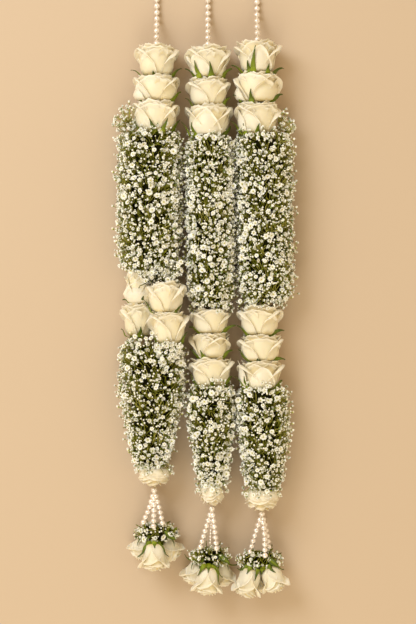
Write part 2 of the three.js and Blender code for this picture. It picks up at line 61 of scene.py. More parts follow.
THREAD = 0.0008                 # radius of the thread
CLEARANCE = 0.0002              # of the lowest points above the table
KNOT = (0.0044, 0.4621)         # where the three strings are tied together
KNOT_RADIUS = 0.004
LOOP_RADIUS = 0.010
TURN_IN = 0.4121                # where the strings turn in to the knot


@dataclass
class Beads:
    """Pearls strung on a thread."""

    radius: float
    pitch: float


STRING_BEADS = Beads(0.0038, 0.0084)
STRING_BEAD_COUNT = 8
TASSEL_BEADS = Beads(0.0036, 0.0072)
SEED_BEADS = Beads(0.0015, 0.0041)
TASSEL_TOP_BEAD = 0.0041        # radius of the single pearl above each tassel
TASSEL_SAG = 0.006


@dataclass
class SleeveSize:
    """A sleeve of gypsophila on a strand."""

    low: float
    high: float
    offset: float       # of its middle, to the right of the strand's axis
    half_width: float
    taper: float        # share of its width that its lower end has
    full_at: float      # share of its length at which it is full
    hang: tuple         # how far it hangs over the flower below, and at what radius
    climb: tuple        # how far it climbs over the flower above, and at what radius


@dataclass
class Strand:
    """One strand of the lei, with its tassel."""

    rim: tuple          # where its axis meets the rim of the top rose
    cap: tuple          # and the top of the cap rose
    upper: SleeveSize
    lower: SleeveSize
    tassel_x: float
    bead_y: float       # of the single pearl above the tassel
    collar_y: float     # of the middle of the tassel's gypsophila


STRANDS = {
    "left": Strand(
        rim=(-0.0601, 0.3441),
        cap=(-0.0631, -0.1869),
        upper=SleeveSize(0.0591, 0.2361, -0.0079, 0.041, 0.90, 0.3, (0.005, 0.026), (0.009, 0.0225)),
        lower=SleeveSize(-0.1859, -0.0279, -0.0039, 0.042, 0.50, 0.6, (0.009, 0.021), (0.012, 0.030)),
        tassel_x=-0.0631,
        bead_y=-0.2129,
        collar_y=-0.2659,
    ),
    "middle": Strand(
        rim=(0.0044, 0.3431),
        cap=(0.0094, -0.2089),
        upper=SleeveSize(0.0166, 0.2301, 0.0012, 0.0305, 0.95, 0.3, (0.007, 0.0255), (0.009, 0.0225)),
        lower=SleeveSize(-0.2079, -0.0829, 0.0, 0.030, 0.56, 0.6, (0.008, 0.0175), (0.009, 0.0225)),
        tassel_x=0.0074,
        bead_y=-0.2364,
        collar_y=-0.2939,
    ),
    "right": Strand(
        rim=(0.0664, 0.3491),
        cap=(0.0719, -0.2139),
        upper=SleeveSize(0.0211, 0.2331, 0.0073, 0.036, 0.95, 0.3, (0.007, 0.0265), (0.009, 0.0235)),
        lower=SleeveSize(-0.2129, -0.0859, 0.0026, 0.034, 0.62, 0.6, (0.008, 0.0220), (0.009, 0.0235)),
        tassel_x=0.0704,
        bead_y=-0.2424,
        collar_y=-0.2969,
    ),
}

# ------------------------------------------------------------------ mesh helpers


class Shape:
    """Points with a tone each, and faces, gathered before they become one mesh."""

    def __init__(self):
        self.points = []
        self.tones = []
        self.faces = []
        self.count = 0

    def add(self, points, faces, tones):
        points = np.asarray(points, float).reshape(-1, 3)
        self.points.append(points)
        self.tones.append(np.broadcast_to(np.asarray(tones, float).reshape(-1), len(points)))
        for group in faces:
            self.faces.extend((np.asarray(group) + self.count).tolist())
        self.count += len(points)

    def add_placed(self, place, points, faces, tones, clearance=CLEARANCE):
        """Adds what is given in a frame of its own, kept clear of the table."""
        place = np.array(place)
        points = points @ place[:3, :3].T + place[:3, 3]
        self.add(above_table(points, clearance), faces, tones)

    def piece(self, name, finish, slot, replaced=()):
        """The gathered shape as an object that rides on the lei, in this finish."""
        mesh = bpy.data.meshes.new(name)
        points = above_table(np.concatenate(self.points), CLEARANCE)
        mesh.from_pydata(points.tolist(), [], self.faces)
        tone = mesh.attributes.new("tone", "FLOAT", "POINT")
        tone.data.foreach_set("value", np.concatenate(self.tones).astype(np.float32))
        mesh.shade_smooth()
        mesh.materials.append(finish)
        made = bpy.data.objects.new(name, mesh)
        bpy.context.scene.collection.objects.link(made)
        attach(made, BODY)
        if replaced:
            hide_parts(*replaced)
        return made


def above_table(places, clearance):
    places[..., 2] = np.maximum(places[..., 2], clearance)
    return places


def smooth_step(x, low, high):
    t = np.clip((x - low) / (high - low), 0, 1)
    return t * t * (3 - 2 * t)


def unit(vectors):
    return vectors / np.maximum(np.linalg.norm(vectors, axis=-1, keepdims=True), 1e-12)


def ring_walls(rings):
    """Quads between rows of point numbers that each close to a ring."""
    lower, upper = rings[:-1], rings[1:]
    walls = [lower, np.roll(lower, -1, 1), np.roll(upper, -1, 1), upper]
    return np.stack(walls, axis=-1).reshape(-1, 4)


def sheet_of(grid, thickness):
    """Points and faces of a closed sheet along a grid of points [rows, columns, 3]."""
    normal = unit(np.cross(np.gradient(grid, axis=0), np.gradient(grid, axis=1)))
    half = np.broadcast_to(np.asarray(thickness) / 2, grid.shape[:2])[..., None]
    front_points, back_points = grid + normal * half, grid - normal * half
    points = np.concatenate([front_points.reshape(-1, 3), back_points.reshape(-1, 3)])
    rows, columns = grid.shape[:2]
    count = rows * columns
    index = np.arange(count).reshape(rows, columns)
    corners = [index[:-1, :-1], index[1:, :-1], index[1:, 1:], index[:-1, 1:]]
    front = np.stack(corners, axis=-1).reshape(-1, 4)
    back = front[:, ::-1] + count
    rim = np.concatenate([index[:-1, 0], index[-1, :-1], index[:0:-1, -1], index[0, :0:-1]])
    following = np.roll(rim, -1)
    side = np.stack([following, rim, rim + count, following + count], axis=-1)
    return points, [front, back, side]


def both_faces(tones):
    """The tones of a sheet's grid, for its front and its back."""
    return np.tile(tones.reshape(-1), 2)


STRIP_COLUMNS = 5


def folded_strip(centre, half, aside, outward, fold, tone):
    """A thin strip along a line of points, half as wide at each as this, raised along its middle."""
    across = np.linspace(-1, 1, STRIP_COLUMNS)
    spread = (half[:, None] * across[None, :])[..., None]
    rise = (fold * half[:, None] * (1 - np.abs(across)[None, :]))[..., None]
    aside = np.broadcast_to(aside, centre.shape)[:, None]
    outward = np.broadcast_to(outward, centre.shape)[:, None]
    grid = centre[:, None] + spread * aside + rise * outward
    tones = np.repeat(tone[:, None], STRIP_COLUMNS, axis=1)
    return grid, both_faces(tones)


def tube_of(path, radius, sides):
    """Points and faces of a closed tube along a path."""
    path = np.asarray(path, float)
    along = unit(np.gradient(path, axis=0))
    aside = np.array([0.0, 0.0, 1.0]) if abs(along[0][2]) < 0.9 else np.array([1.0, 0.0, 0.0])
    turns = (2 * np.pi * np.arange(sides) / sides)[:, None]
    rings = []
    for point, direction in zip(path, along):
        across = unit(np.cross(direction, aside))
        aside = np.cross(across, direction)
        rings.append(point + radius * (np.cos(turns) * across + np.sin(turns) * aside))
    index = np.arange(len(path) * sides).reshape(len(path), sides)
    return np.array(rings).reshape(-1, 3), [ring_walls(index), index[:1, ::-1], index[-1:]]


def lathe_of(profile, sides):
    """Points and faces of a profile of (radius, height) turned round Z, closed at both ends."""
    profile = np.asarray(profile, float)
    turns = 2 * np.pi * np.arange(sides) / sides
    radii, heights = profile[:, 0, None], profile[:, 1, None]
    rings = [radii * np.cos(turns), radii * np.sin(turns), np.repeat(heights, sides, axis=1)]
    index = np.arange(len(profile) * sides).reshape(len(profile), sides)
    points = np.stack(rings, axis=-1).reshape(-1, 3)
    return points, [ring_walls(index), index[:1, ::-1], index[-1:]]


def turned_to(directions, spins):
    """For each direction, the axes that carry +Z to it after a spin round +Z."""
    directions = unit(np.asarray(directions, float))
    helper = np.where(np.abs(directions[:, 1:2]) > 0.9, [[1.0, 0, 0]], [[0, 1.0, 0]])
    x = unit(np.cross(helper, directions))
    y = np.cross(directions, x)
    c, s = np.cos(spins)[:, None], np.sin(spins)[:, None]
    return np.stack([c * x + s * y, c * y - s * x, directions], axis=1)


def scatter(shape, model, places, directions, spins, sizes, shade=0.0):
    """Copies of a model (points, faces, tones) at each place, looking along each direction."""
    points, faces, tones = model
    count = len(places)
    if count == 0:
        return
    axes = turned_to(directions, spins)
    local = points[None] * np.reshape(sizes, (-1, 1, 1))
    moved = np.einsum("nvk,nkc->nvc", local, axes) + np.asarray(places)[:, None]
    steps = (np.arange(count) * len(points))[:, None, None]
    all_faces = [(group[None] + steps).reshape(-1, group.shape[1]) for group in faces]
    all_tones = (tones[None] + np.reshape(np.broadcast_to(shade, count), (-1, 1))).reshape(-1)
    shape.add(moved, all_faces, all_tones)


def any_spin(random, count):
    """Random spins, up to about a full turn."""
    return random.random(count) * 6.28


def drawn(random, count, least, extra):
    """Random numbers from the least up to an extra above it."""
    return least + extra * random.random(count)


def wobble(random, size):
    """One random number, up to this size either way."""
    return (random.random() - 0.5) * 2 * size


def spread_points(random, count, width, height, tries=6):
    """Evenly spread random points in a width by height patch that wraps across its width."""
    found = np.empty((count, 2))
    size = np.array([width, height])
    found[0] = random.random(2) * size
    for i in range(1, count):
        offers = random.random((tries, 2)) * size
        gap = np.abs(offers[:, None] - found[None, :i])
        gap[..., 0] = np.minimum(gap[..., 0], width - gap[..., 0])
        found[i] = offers[np.argmax((gap**2).sum(-1).min(axis=1))]
    return found


def distances_along(path):
    """How far along a path each of its points lies."""
    return np.concatenate([[0], np.cumsum(np.linalg.norm(np.diff(path, axis=0), axis=1))])


def points_along(path, distances):
    steps = distances_along(path)
    return np.stack([np.interp(distances, steps, path[:, k]) for k in range(3)], axis=-1)


def curve_through(points, count, fine_steps=24):
    """Evenly spaced points on a smooth curve through these points."""
    points = np.asarray(points, float)
    ends = [2 * points[0] - points[1], *points, 2 * points[-1] - points[-2]]
    t = np.linspace(0, 1, fine_steps, endpoint=False)[:, None]
    fine = []
    for p0, p1, p2, p3 in zip(ends, ends[1:], ends[2:], ends[3:]):
        cubic = (-p0 + 3 * p1 - 3 * p2 + p3) * t**3 + (2 * p0 - 5 * p1 + 4 * p2 - p3) * t**2
        fine.append(0.5 * (cubic + (p2 - p0) * t + 2 * p1))
    fine = np.concatenate([*fine, points[-1:]])
    return points_along(fine, np.linspace(0, distances_along(fine)[-1], count))


# ------------------------------------------------------------------ finishes


def node(tree, kind, sockets=None, **settings):
    """A shader node with these settings, and these values on its sockets."""
    made = tree.nodes.new(kind)
    for key, value in settings.items():
        setattr(made, key, value)
    for key, value in (sockets or {}).items():
        made.inputs[key].default_value = value
    return made


def mottle_group():
    """Colour that drifts a little in lightness and warmth over a natural surface, and fine relief."""
    tree = bpy.data.node_groups.new("natural_mottle", "ShaderNodeTree")
    for name, kind, value in (
        ("Colour", "NodeSocketColor", (1, 1, 1, 1)),
        ("Drift", "NodeSocketColor", (1, 1, 1, 1)),
        ("Amount", "NodeSocketFloat", 0.3),
        ("Patch Scale", "NodeSocketFloat", 60.0),
        ("Vein Scale", "NodeSocketFloat", 900.0),
    ):
        made = tree.interface.new_socket(name, in_out="INPUT", socket_type=kind)
        made.default_value = value
    tree.interface.new_socket("Colour", in_out="OUTPUT", socket_type="NodeSocketColor")
    tree.interface.new_socket("Relief", in_out="OUTPUT", socket_type="NodeSocketFloat")
    inside = node(tree, "NodeGroupInput")
    outside = node(tree, "NodeGroupOutput")
    where = node(tree, "ShaderNodeTexCoord")
    patches = node(tree, "ShaderNodeTexNoise", {"Detail": 3.0})
    veins = node(tree, "ShaderNodeTexNoise", {"Detail": 4.0, "Distortion": 0.6})
    sharpen = node(tree, "ShaderNodeMapRange", {"From Min": 0.35, "From Max": 0.68})
    share = node(tree, "ShaderNodeMath", operation="MULTIPLY")
    mix = node(tree, "ShaderNodeMix", data_type="RGBA")
    link = tree.links.new
    link(where.outputs["Object"], patches.inputs["Vector"])
    link(where.outputs["Object"], veins.inputs["Vector"])
    link(inside.outputs["Patch Scale"], patches.inputs["Scale"])
    link(inside.outputs["Vein Scale"], veins.inputs["Scale"])
    link(patches.outputs["Fac"], sharpen.inputs["Value"])
    link(sharpen.outputs["Result"], share.inputs[0])
    link(inside.outputs["Amount"], share.inputs[1])
    link(share.outputs["Value"], mix.inputs["Factor"])
    link(inside.outputs["Colour"], mix.inputs["A"])
    link(inside.outputs["Drift"], mix.inputs["B"])
    link(mix.outputs["Result"], outside.inputs["Colour"])
    link(veins.outputs["Fac"], outside.inputs["Relief"])
    return tree


MOTTLE = mottle_group()
RELIEF_DEPTH = 0.0003


def finish(name, stops, drift, amount, patch_scale, vein_scale, bump, surface):
    """A natural surface: the tone of each point picks a colour from the stops, which then drifts
    by up to an amount. The surface is the values of the shader's own sockets."""
    material = bpy.data.materials.new(name)
    material.use_nodes = True
    tree = material.node_tree
    shader = tree.nodes["Principled BSDF"]
    tone = node(tree, "ShaderNodeAttribute", attribute_name="tone")
    ramp = node(tree, "ShaderNodeValToRGB")
    while len(ramp.color_ramp.elements) < len(stops):
        ramp.color_ramp.elements.new(0.5)
    for element, (position, colour) in zip(ramp.color_ramp.elements, stops):
        element.position = position
        element.color = (*colour, 1)
    scales = {"Patch Scale": patch_scale, "Vein Scale": vein_scale}
    drifting = {"Drift": (*drift, 1), "Amount": amount, **scales}
    mottle = node(tree, "ShaderNodeGroup", drifting, node_tree=MOTTLE)
    relief = node(tree, "ShaderNodeBump", {"Strength": bump, "Distance": RELIEF_DEPTH})
    link = tree.links.new
    link(tone.outputs["Fac"], ramp.inputs["Fac"])
    link(ramp.outputs["Color"], mottle.inputs["Colour"])
    link(mottle.outputs["Colour"], shader.inputs["Base Color"])
    link(mottle.outputs["Relief"], relief.inputs["Height"])
    link(relief.outputs["Normal"], shader.inputs["Normal"])
    for key, value in surface.items():
        shader.inputs[key].default_value = value
    return material


SOFT_PETAL = {
    "Roughness": 0.5,
    "Subsurface Weight": 0.2,
    "Subsurface Radius": (1.0, 0.80, 0.50),
    "Subsurface Scale": 0.0025,
    "Specular IOR Level": 0.65,
    "Sheen Weight": 0.10,
}
# The low stops are the green claw and also the golden painted shade of the folds between petals; the top stop
# is the pale lip, partly painted light on the rims.
PETAL = finish(
    "rose_petal",
    [
        (0.0, (0.80, 0.62, 0.16)),
        (0.14, (1.0, 0.78, 0.28)),
        (0.5, (0.96, 0.80, 0.42)),
        (0.76, (0.83, 0.775, 0.62)),
        (1.0, (0.94, 0.90, 0.77)),
    ],
    (0.92, 0.78, 0.46), 0.2, 55, 420, 0.12, SOFT_PETAL,
)
# Cap rose petals take the same tones: golden painted shade in the folds and painted light on the lips.
CAP_PETAL = finish(
    "cap_rose_petal",
    [
        (0.0, (0.76, 0.62, 0.26)),
        (0.2, (0.90, 0.72, 0.38)),
        (0.6, (0.84, 0.75, 0.54)),
        (1.0, (0.90, 0.84, 0.70)),
    ],
    (0.92, 0.78, 0.46), 0.2, 55, 420, 0.12, SOFT_PETAL,
)
GREEN = finish(
    "calyx_green",
    [
        (0.0, (0.46, 0.50, 0.03)),
        (0.35, (0.26, 0.33, 0.014)),
        (0.8, (0.065, 0.10, 0.008)),
        (1.0, (0.04, 0.06, 0.006)),
    ],
    (0.12, 0.16, 0.010), 0.45, 240, 1500, 0.3, {"Roughness": 0.42, "Specular IOR Level": 0.3},
)
FLORET = finish(
    "gypsophila_floret",
    [
        (0.0, (0.16, 0.26, 0.02)),
        (0.28, (0.58, 0.50, 0.08)),
        (0.44, (0.92, 0.92, 0.76)),
        (1.0, (0.98, 1.0, 1.0)),
    ],
    (0.94, 0.94, 0.88), 0.22, 500, 2500, 0.1, {"Roughness": 0.55},
)
# The stems' ramp runs down to near black at its low end: their olive green, partly darkened as painted shade
# for the stems deep in the sprays.
STEM = finish(
    "gypsophila_stem",
    [(0.0, (0.012, 0.019, 0.0004)), (0.5, (0.19, 0.22, 0.006)), (1.0, (0.66, 0.61, 0.16))],
    (0.27, 0.25, 0.02), 0.35, 120, 1800, 0.2, {"Roughness": 0.6, "Specular IOR Level": 0.12},
)
# Painted shade: a near-black finish for the mass inside each sleeve, standing in for the shadow deep between
# the sprays.
PAINTED_SHADE_FINISH = finish(
    "gypsophila_thicket",
    [(0.0, (0.004, 0.004, 0.0002)), (1.0, (0.014, 0.014, 0.0005))],
    (0.016, 0.014, 0.0005), 0.6, 200, 700, 0.6, {"Roughness": 0.9, "Specular IOR Level": 0.12},
)
PEARL = finish(
    "pearl",
    [(0.0, (0.90, 0.82, 0.75)), (1.0, (0.96, 0.91, 0.87))],
    (0.95, 0.87, 0.79), 0.4, 240, 300, 0.0,
    {
        "Roughness": 0.15,
        "Metallic": 0.45,
        "Specular IOR Level": 0.8,
        "Coat Weight": 1.0,
        "Coat Roughness": 0.04,
    },
)
COTTON = finish(
    "cotton_thread",
    [(0.0, (0.66, 0.60, 0.46)), (1.0, (0.84, 0.79, 0.67))],
    (0.70, 0.62, 0.45), 0.4, 400, 1600, 0.5, {"Roughness": 0.8},
)

# ------------------------------------------------------------------ camera, light and table


def camera_over_the_lei():
    data = bpy.data.cameras.new("camera")
    data.sensor_fit = "VERTICAL"
    data.sensor_height = 24.0
    data.lens = data.sensor_height * (CAMERA_HEIGHT - LEI_MIDDLE) / VIEW_HEIGHT
    camera = bpy.data.objects.new("camera", data)
    camera.location = (*VIEW_CENTRE, CAMERA_HEIGHT)
    bpy.context.scene.collection.objects.link(camera)
    bpy.context.scene.camera = camera


def lamp(name, place, size, power, colour):
    """A square soft light that looks at the middle of the lei."""
    data = bpy.data.lights.new(name, "AREA")
    data.size = size
    data.energy = power
    data.color = colour
    light = bpy.data.objects.new(name, data)
    light.location = place
    light.rotation_euler = Vector(place).to_track_quat("Z", "Y").to_euler()
    bpy.context.scene.collection.objects.link(light)


def table():
    reach = TABLE_REACH
    corners = [(-reach, -reach, 0), (reach, -reach, 0), (reach, reach, 0), (-reach, reach, 0)]
    mesh = bpy.data.meshes.new("table")
    mesh.from_pydata(corners, [], [(0, 1, 2, 3)])
    top = bpy.data.objects.new("table", mesh)
    surface = bpy.data.materials.new("pale_table")
    surface.use_nodes = True
    shader = surface.node_tree.nodes["Principled BSDF"]
    shader.inputs["Base Color"].default_value = (0.60, 0.475, 0.35, 1)
    shader.inputs["Roughness"].default_value = 0.85
    mesh.materials.append(surface)
    bpy.context.scene.collection.objects.link(top)


def sky():
    """Warm light from all round, dimmer from straight above, where the camera hangs."""
    world = bpy.data.worlds.new("soft_light")
    world.use_nodes = True
    tree = world.node_tree
    background = tree.nodes["Background"]
    background.inputs["Color"].default_value = (1.0, 0.79, 0.50, 1)
    where = node(tree, "ShaderNodeTexCoord")
    parts = node(tree, "ShaderNodeSeparateXYZ")
    heights = {"From Min": 0.76, "From Max": 0.95}
    strengths = {"To Min": 0.91, "To Max": 0.46}
    dimming = node(tree, "ShaderNodeMapRange", {**heights, **strengths})
    tree.links.new(where.outputs["Generated"], parts.inputs["Vector"])
    tree.links.new(parts.outputs["Z"], dimming.inputs["Value"])
    tree.links.new(dimming.outputs["Result"], background.inputs["Strength"])
    bpy.context.scene.world = world


bpy.context.scene.view_settings.view_transform = "Standard"
camera_over_the_lei()
lamp("key_light", (-1.3, 1.3, 1.8), 1.4, 36, (0.90, 0.95, 1.0))
lamp("fill_light", (-0.3, -1.8, 2.0), 1.6, 21, (1.0, 0.95, 0.82))
table()
sky()

# ------------------------------------------------------------------ pearls and strings


def bead_model(radius, mouth=0.12, flat=0.985, steps=13, sides=18):
    """A pearl round Z, slightly flat at the two mouths of its bore."""
    angles = np.linspace(0, np.pi, steps)
    profile = [(max(radius * math.sin(a), mouth * radius), -flat * radius * math.cos(a)) for a in angles]
    points, faces = lathe_of(profile, sides)
    return points, faces, np.ones(len(points))


def beads_along(shape, path, distances, radius, random):
    places = points_along(path, distances)
    ahead = points_along(path, distances + 0.001)
    count = len(places)
    spins = any_spin(random, count)
    scatter(shape, bead_model(radius), places, ahead - places, spins, np.ones(count), -random.random(count))


def string_route(x, rim):
    """From the heart of the top rose over its rim, down to the table and along it to the knot."""
    towards = unit(np.array([KNOT[0] - x, KNOT[1] - TURN_IN]))
    end_x, end_y = np.array(KNOT) - towards * (KNOT_RADIUS + 0.0004)
    bead_z = STRING_BEADS.radius + 0.0003
    bare_z = THREAD + 0.0001
    return curve_through(
        [
            (x, rim - 0.0083, AXIS_HEIGHT),
            (x, rim + 0.002, AXIS_HEIGHT - 0.0005),
            (x, rim + 0.012, AXIS_HEIGHT - 0.0055),
            (x, rim + 0.027, AXIS_HEIGHT - 0.015),
            (x, rim + 0.040, bead_z + 0.0022),
            (x, rim + 0.052, bead_z),
            (x, TURN_IN - 0.006, bead_z),
            (x + (end_x - x) * 0.12, TURN_IN + 0.006, bare_z + 0.001),
            (x + (end_x - x) * 0.45, TURN_IN + 0.020, bare_z),
            (end_x, end_y, KNOT_RADIUS - 0.001),
        ],
        80,
    )


def thread_along(path, tone=1.0):
    shape = Shape()
    shape.add(*tube_of(path, THREAD, 8), tone)
    return shape


def strings():
    """The three free strings from the top roses to the knot, with their pearls and the loop."""
    loop = hanging_loop()
    for number, (side, strand) in enumerate(STRANDS.items()):
        x, rim = strand.rim
        route = string_route(x, rim)
        string = thread_along(route).piece(f"{side}_string", COTTON, "thread", [f"{side}_pearl_string"])
        rows = rim + 0.0025 + STRING_BEADS.pitch * np.arange(STRING_BEAD_COUNT)
        distances = np.interp(rows, route[:, 1], distances_along(route))
        pearls = Shape()
        beads_along(pearls, route, distances, STRING_BEADS.radius, np.random.default_rng(40 + number))
        beads = pearls.piece(f"{side}_string_pearls", PEARL, "pearl")


KNOT_COIL = {"turns": 4, "half_length": 0.0026, "reach": 0.0024, "height": 0.0022, "thread": 0.0011}
PLY = 0.0006                    # radius of each of the loop's two plies
PLY_OFFSET = 0.0005             # of each ply from the middle of the loop's thread
PLY_TWIST = 22                  # turns of the plies round each other in one round of the loop


def hanging_loop():
    """The knot that gathers the strings, wound round them, and its two-ply loop."""
    shape = Shape()
    middle = np.array([*KNOT, KNOT_RADIUS])
    turns = np.linspace(0, 2 * np.pi * KNOT_COIL["turns"], 90)
    along = np.linspace(-KNOT_COIL["half_length"], KNOT_COIL["half_length"], len(turns))
    around = [KNOT_COIL["reach"] * np.cos(turns), along, KNOT_COIL["height"] * np.sin(turns)]
    shape.add(*tube_of(middle + np.stack(around, axis=-1), KNOT_COIL["thread"], 8), 0.6)
    centre = middle + np.array([0, LOOP_RADIUS + 0.002, PLY + PLY_OFFSET - KNOT_RADIUS])
    turns = np.linspace(0, 2 * np.pi, 97)
    for ply in (0, np.pi):
        twist = PLY_TWIST * turns + ply
        reach = LOOP_RADIUS + PLY_OFFSET * np.cos(twist)
        ring = [reach * np.sin(turns), -reach * np.cos(turns), PLY_OFFSET * np.sin(twist)]
        shape.add(*tube_of(centre + np.stack(ring, axis=-1), PLY, 6), 0.8)
    return shape.piece("hanging_loop", COTTON, "thread", ["hanging_knot"])


strings()

# ------------------------------------------------------------------ roses

# Outlines of a bloom from its base to its rim, as (share of radius, share of height). The last
# point is how they would go on above the rim, where the points of some petals reach.
CUP = np.array([
    (0.20, 0.0), (0.47, 0.010), (0.66, 0.055), (0.785, 0.16), (0.85, 0.32),
    (0.87, 0.52), (0.87, 0.72), (0.885, 0.88), (0.91, 1.0), (0.97, 1.2),
])
BARREL = np.array([
    (0.20, 0.0), (0.50, 0.010), (0.71, 0.055), (0.865, 0.17), (0.95, 0.35),
    (0.96, 0.54), (0.92, 0.74), (0.865, 0.88), (0.82, 1.0), (0.80, 1.2),
])
ROUND = np.array([
    (0.20, 0.0), (0.52, 0.010), (0.74, 0.055), (0.90, 0.17), (0.98, 0.36),
    (0.96, 0.54), (0.88, 0.72), (0.78, 0.88), (0.68, 1.0), (0.60, 1.2),
])
BELL = np.array([
    (0.14, 0.0), (0.42, 0.02), (0.62, 0.10), (0.705, 0.24), (0.73, 0.42),
    (0.725, 0.60), (0.72, 0.76), (0.76, 0.90), (0.83, 1.0), (0.97, 1.2),
])
PETAL_COLUMNS = 17
PETAL_ROWS = 20
PETAL_THICKNESS = 0.0005
LOWEST_PETAL = 0.0003           # above the table


@dataclass
class Petal:
    """One petal: where it stands round the bloom and how it is shaped."""

    angle: float                # round the bloom, in degrees from the front towards the right
    fit: float                  # share of the bloom's outline
    spread: float = 78          # half of what it wraps round the bloom, in degrees
    height: float = 1.0
    drop: float = 0.34          # how much lower its shoulders are than its tip
    point: float = 1.7          # of the tip: low for a point, high for a round top
    reflex: float = 1.0         # how far the lip rolls out, in radians
    closing: float = 0.0        # how far the petal leans in over the heart
    ripple: float = 0.0003      # of the crimped edge
    lift: float = 0.0009        # of the side edges off the petal below
    tip: float = 0.0            # how far its point stands up from its round top
    frill: float = 0.014        # how uneven its edge is
    roll: float = 0.0           # how far the edge stands off all round
    bulge: float = 0.0          # how far its middle swells out
    lip: float = 0.18           # share of its length that rolls out


def petal_edge(petal, u, random):
    """How far up the outline the petal's edge lies across its width, and the waves in it."""
    side = np.abs(u)
    starts = any_spin(random, 3)
    waves = sum(
        size * np.sin(rate * u + start)
        for size, rate, start in zip((1.0, 0.7, 0.5), (3.1, 7.3, 13.0), starts)
    )
    top = 1 - petal.drop * side**petal.point + petal.frill * waves
    top = top + petal.tip * np.maximum(1 - side / 0.34, 0) ** 1.15
    return np.maximum(top, 0.05), waves


def petal_profile(petal, s, top, outline, radius, height):
    """Radius and height of each point of a petal along the bloom's outline, with its lip rolled out.
    s is the share of the outline's length at each point, and top where the edge is."""
    steps = distances_along(outline)
    steps /= steps[-2]              # the rim is the last point but one
    body_r = np.interp(s, steps, outline[:, 0]) * radius * petal.fit
    body_h = np.interp(s, steps, outline[:, 1]) * height * petal.height
    dr, dh = np.diff(body_r, axis=0), np.diff(body_h, axis=0)
    speed = np.hypot(dr, dh)
    between = (s[1:] + s[:-1]) / 2
    lip_length = petal.lip * (0.30 + 0.70 * smooth_step(top, 0.45, 0.95))
    lip = smooth_step(between, top - lip_length, top - 0.01) * smooth_step(top, 0.35, 0.95)
    lean = np.arctan2(dr, dh) + petal.reflex * lip - petal.closing * smooth_step(between, 0.30, 0.95)
    r = np.concatenate([body_r[:1], body_r[:1] + np.cumsum(speed * np.sin(lean), axis=0)])
    h = np.concatenate([body_h[:1], body_h[:1] + np.cumsum(speed * np.cos(lean), axis=0)])
    return r, h


def petal_sheet(petal, outline, radius, height, random):
    """Points, faces and tones of one petal of a bloom that opens towards +Y, its front at +Z."""
    # columns and rows lie closer together towards the edges, where the petal bends most
    u = np.sin(np.linspace(-1, 1, PETAL_COLUMNS) * 1.45) / math.sin(1.45)
    v = np.linspace(0, 1, PETAL_ROWS) ** 0.78
    side = np.abs(u)
    top, waves = petal_edge(petal, u, random)
    s = v[:, None] * top[None, :]
    r, h = petal_profile(petal, s, top, outline, radius, height)
    near_edge = smooth_step(s, top - 0.22, top)
    r = r + petal.ripple * waves * near_edge
    h = h + 0.6 * petal.ripple * np.roll(waves, 3) * near_edge
    r = r + petal.lift * side**3 * smooth_step(s, 0.06, 0.35) * (0.7 + 0.6 * near_edge)
    swell = smooth_step(s, 0.04, 0.35) * (1 - smooth_step(s, top - 0.40, top - 0.04)) * (1 - side**2)
    r = r + petal.bulge * swell + petal.roll * smooth_step(s, top - 0.11, top) ** 2
    r = np.maximum(r, 0.0004)
    share = np.interp(s, [0, 0.08, 0.22, 0.45, 0.7, 1.0], [0.45, 0.70, 0.91, 1.0, 1.0, 0.92])
    turn = math.radians(petal.angle) + u[None, :] * math.radians(petal.spread) * share
    grid = np.stack([r * np.sin(turn), h, r * np.cos(turn)], axis=-1)
    points, faces = sheet_of(grid, PETAL_THICKNESS * (1 - 0.45 * near_edge))
    # the tone rises from the green claw to the pale lip, which is also brightened as painted light where the
    # tilted rims get less light, and it falls on the inner, closer-fitting petals below their rims as golden
    # painted shade in the folds
    pale = smooth_step(s, top - 0.13, top)
    tone = 0.12 + 0.72 * smooth_step(s, 0.0, 0.45) + 0.20 * pale - 1.7 * (1 - petal.fit) * (1 - 0.75 * pale)
    return points, faces, both_faces(np.clip(tone, 0, 1))


def back_petal(aim, random, **shape):
    return Petal(aim + 180 + wobble(random, 15), **{**BACK, **shape})


BACK = dict(fit=0.90, spread=80, height=0.92, drop=0.30, point=2.0, reflex=0.9, frill=0.02)
MEETING_SIDE = dict(drop=0.82, point=3.0, lift=0.0015, tip=0.08, roll=0.0013, bulge=0.0020, lip=0.21)
EGG_SIDE = dict(drop=0.66, point=2.8, lift=0.0014, tip=0.09, roll=0.0012, lip=0.21)
BROAD_SIDE = dict(bulge=0.0010, roll=0.0008)


def meeting_petals(aim, random):
    """The five petals that show from the side, where two of them meet in a V at the aim."""
    right_over = random.random() < 0.6
    under, over = 0.917, 0.955
    petals = [
        back_petal(aim, random),
        Petal(aim + wobble(random, 10), 0.915, 72, 0.95 + wobble(random, 0.04), 0.30, 2.4,
              0.75 + wobble(random, 0.2), ripple=0.0007, frill=0.020, roll=0.0008),
        Petal(aim + 132 + wobble(random, 8), 0.93, 70, 0.93, 0.40, 2.2, 1.1 + wobble(random, 0.3)),
    ]
    for angle, fit in ((-76, under if right_over else over), (76, over if right_over else under)):
        petals.append(
            Petal(aim + angle + wobble(random, 5), fit, 74, 0.94 + wobble(random, 0.04),
                  reflex=2.0 + wobble(random, 0.25), **MEETING_SIDE)
        )
    return petals


def egg_petals(aim, random):
    """The five petals that show, where one egg-shaped petal stands at the aim before two others."""
    petals = [
        back_petal(aim, random),
        Petal(aim + 128 + wobble(random, 8), 0.915, 72, 0.93, 0.40, 2.2, 1.1 + wobble(random, 0.3)),
    ]
    for angle, fit in ((-84, 0.935), (86, 0.945)):
        petals.append(
            Petal(aim + angle + wobble(random, 8), fit, 76, 0.92 + wobble(random, 0.03),
                  reflex=1.8 + wobble(random, 0.25), **EGG_SIDE)
        )
    front = Petal(aim + wobble(random, 6), 0.98, 52, 0.80 + wobble(random, 0.04), 0.74, 2.2,
                  0.6 + wobble(random, 0.2), ripple=0.0005, lift=0.0010, roll=0.0010, tip=0.05, bulge=0.0018)
    return petals + [front]


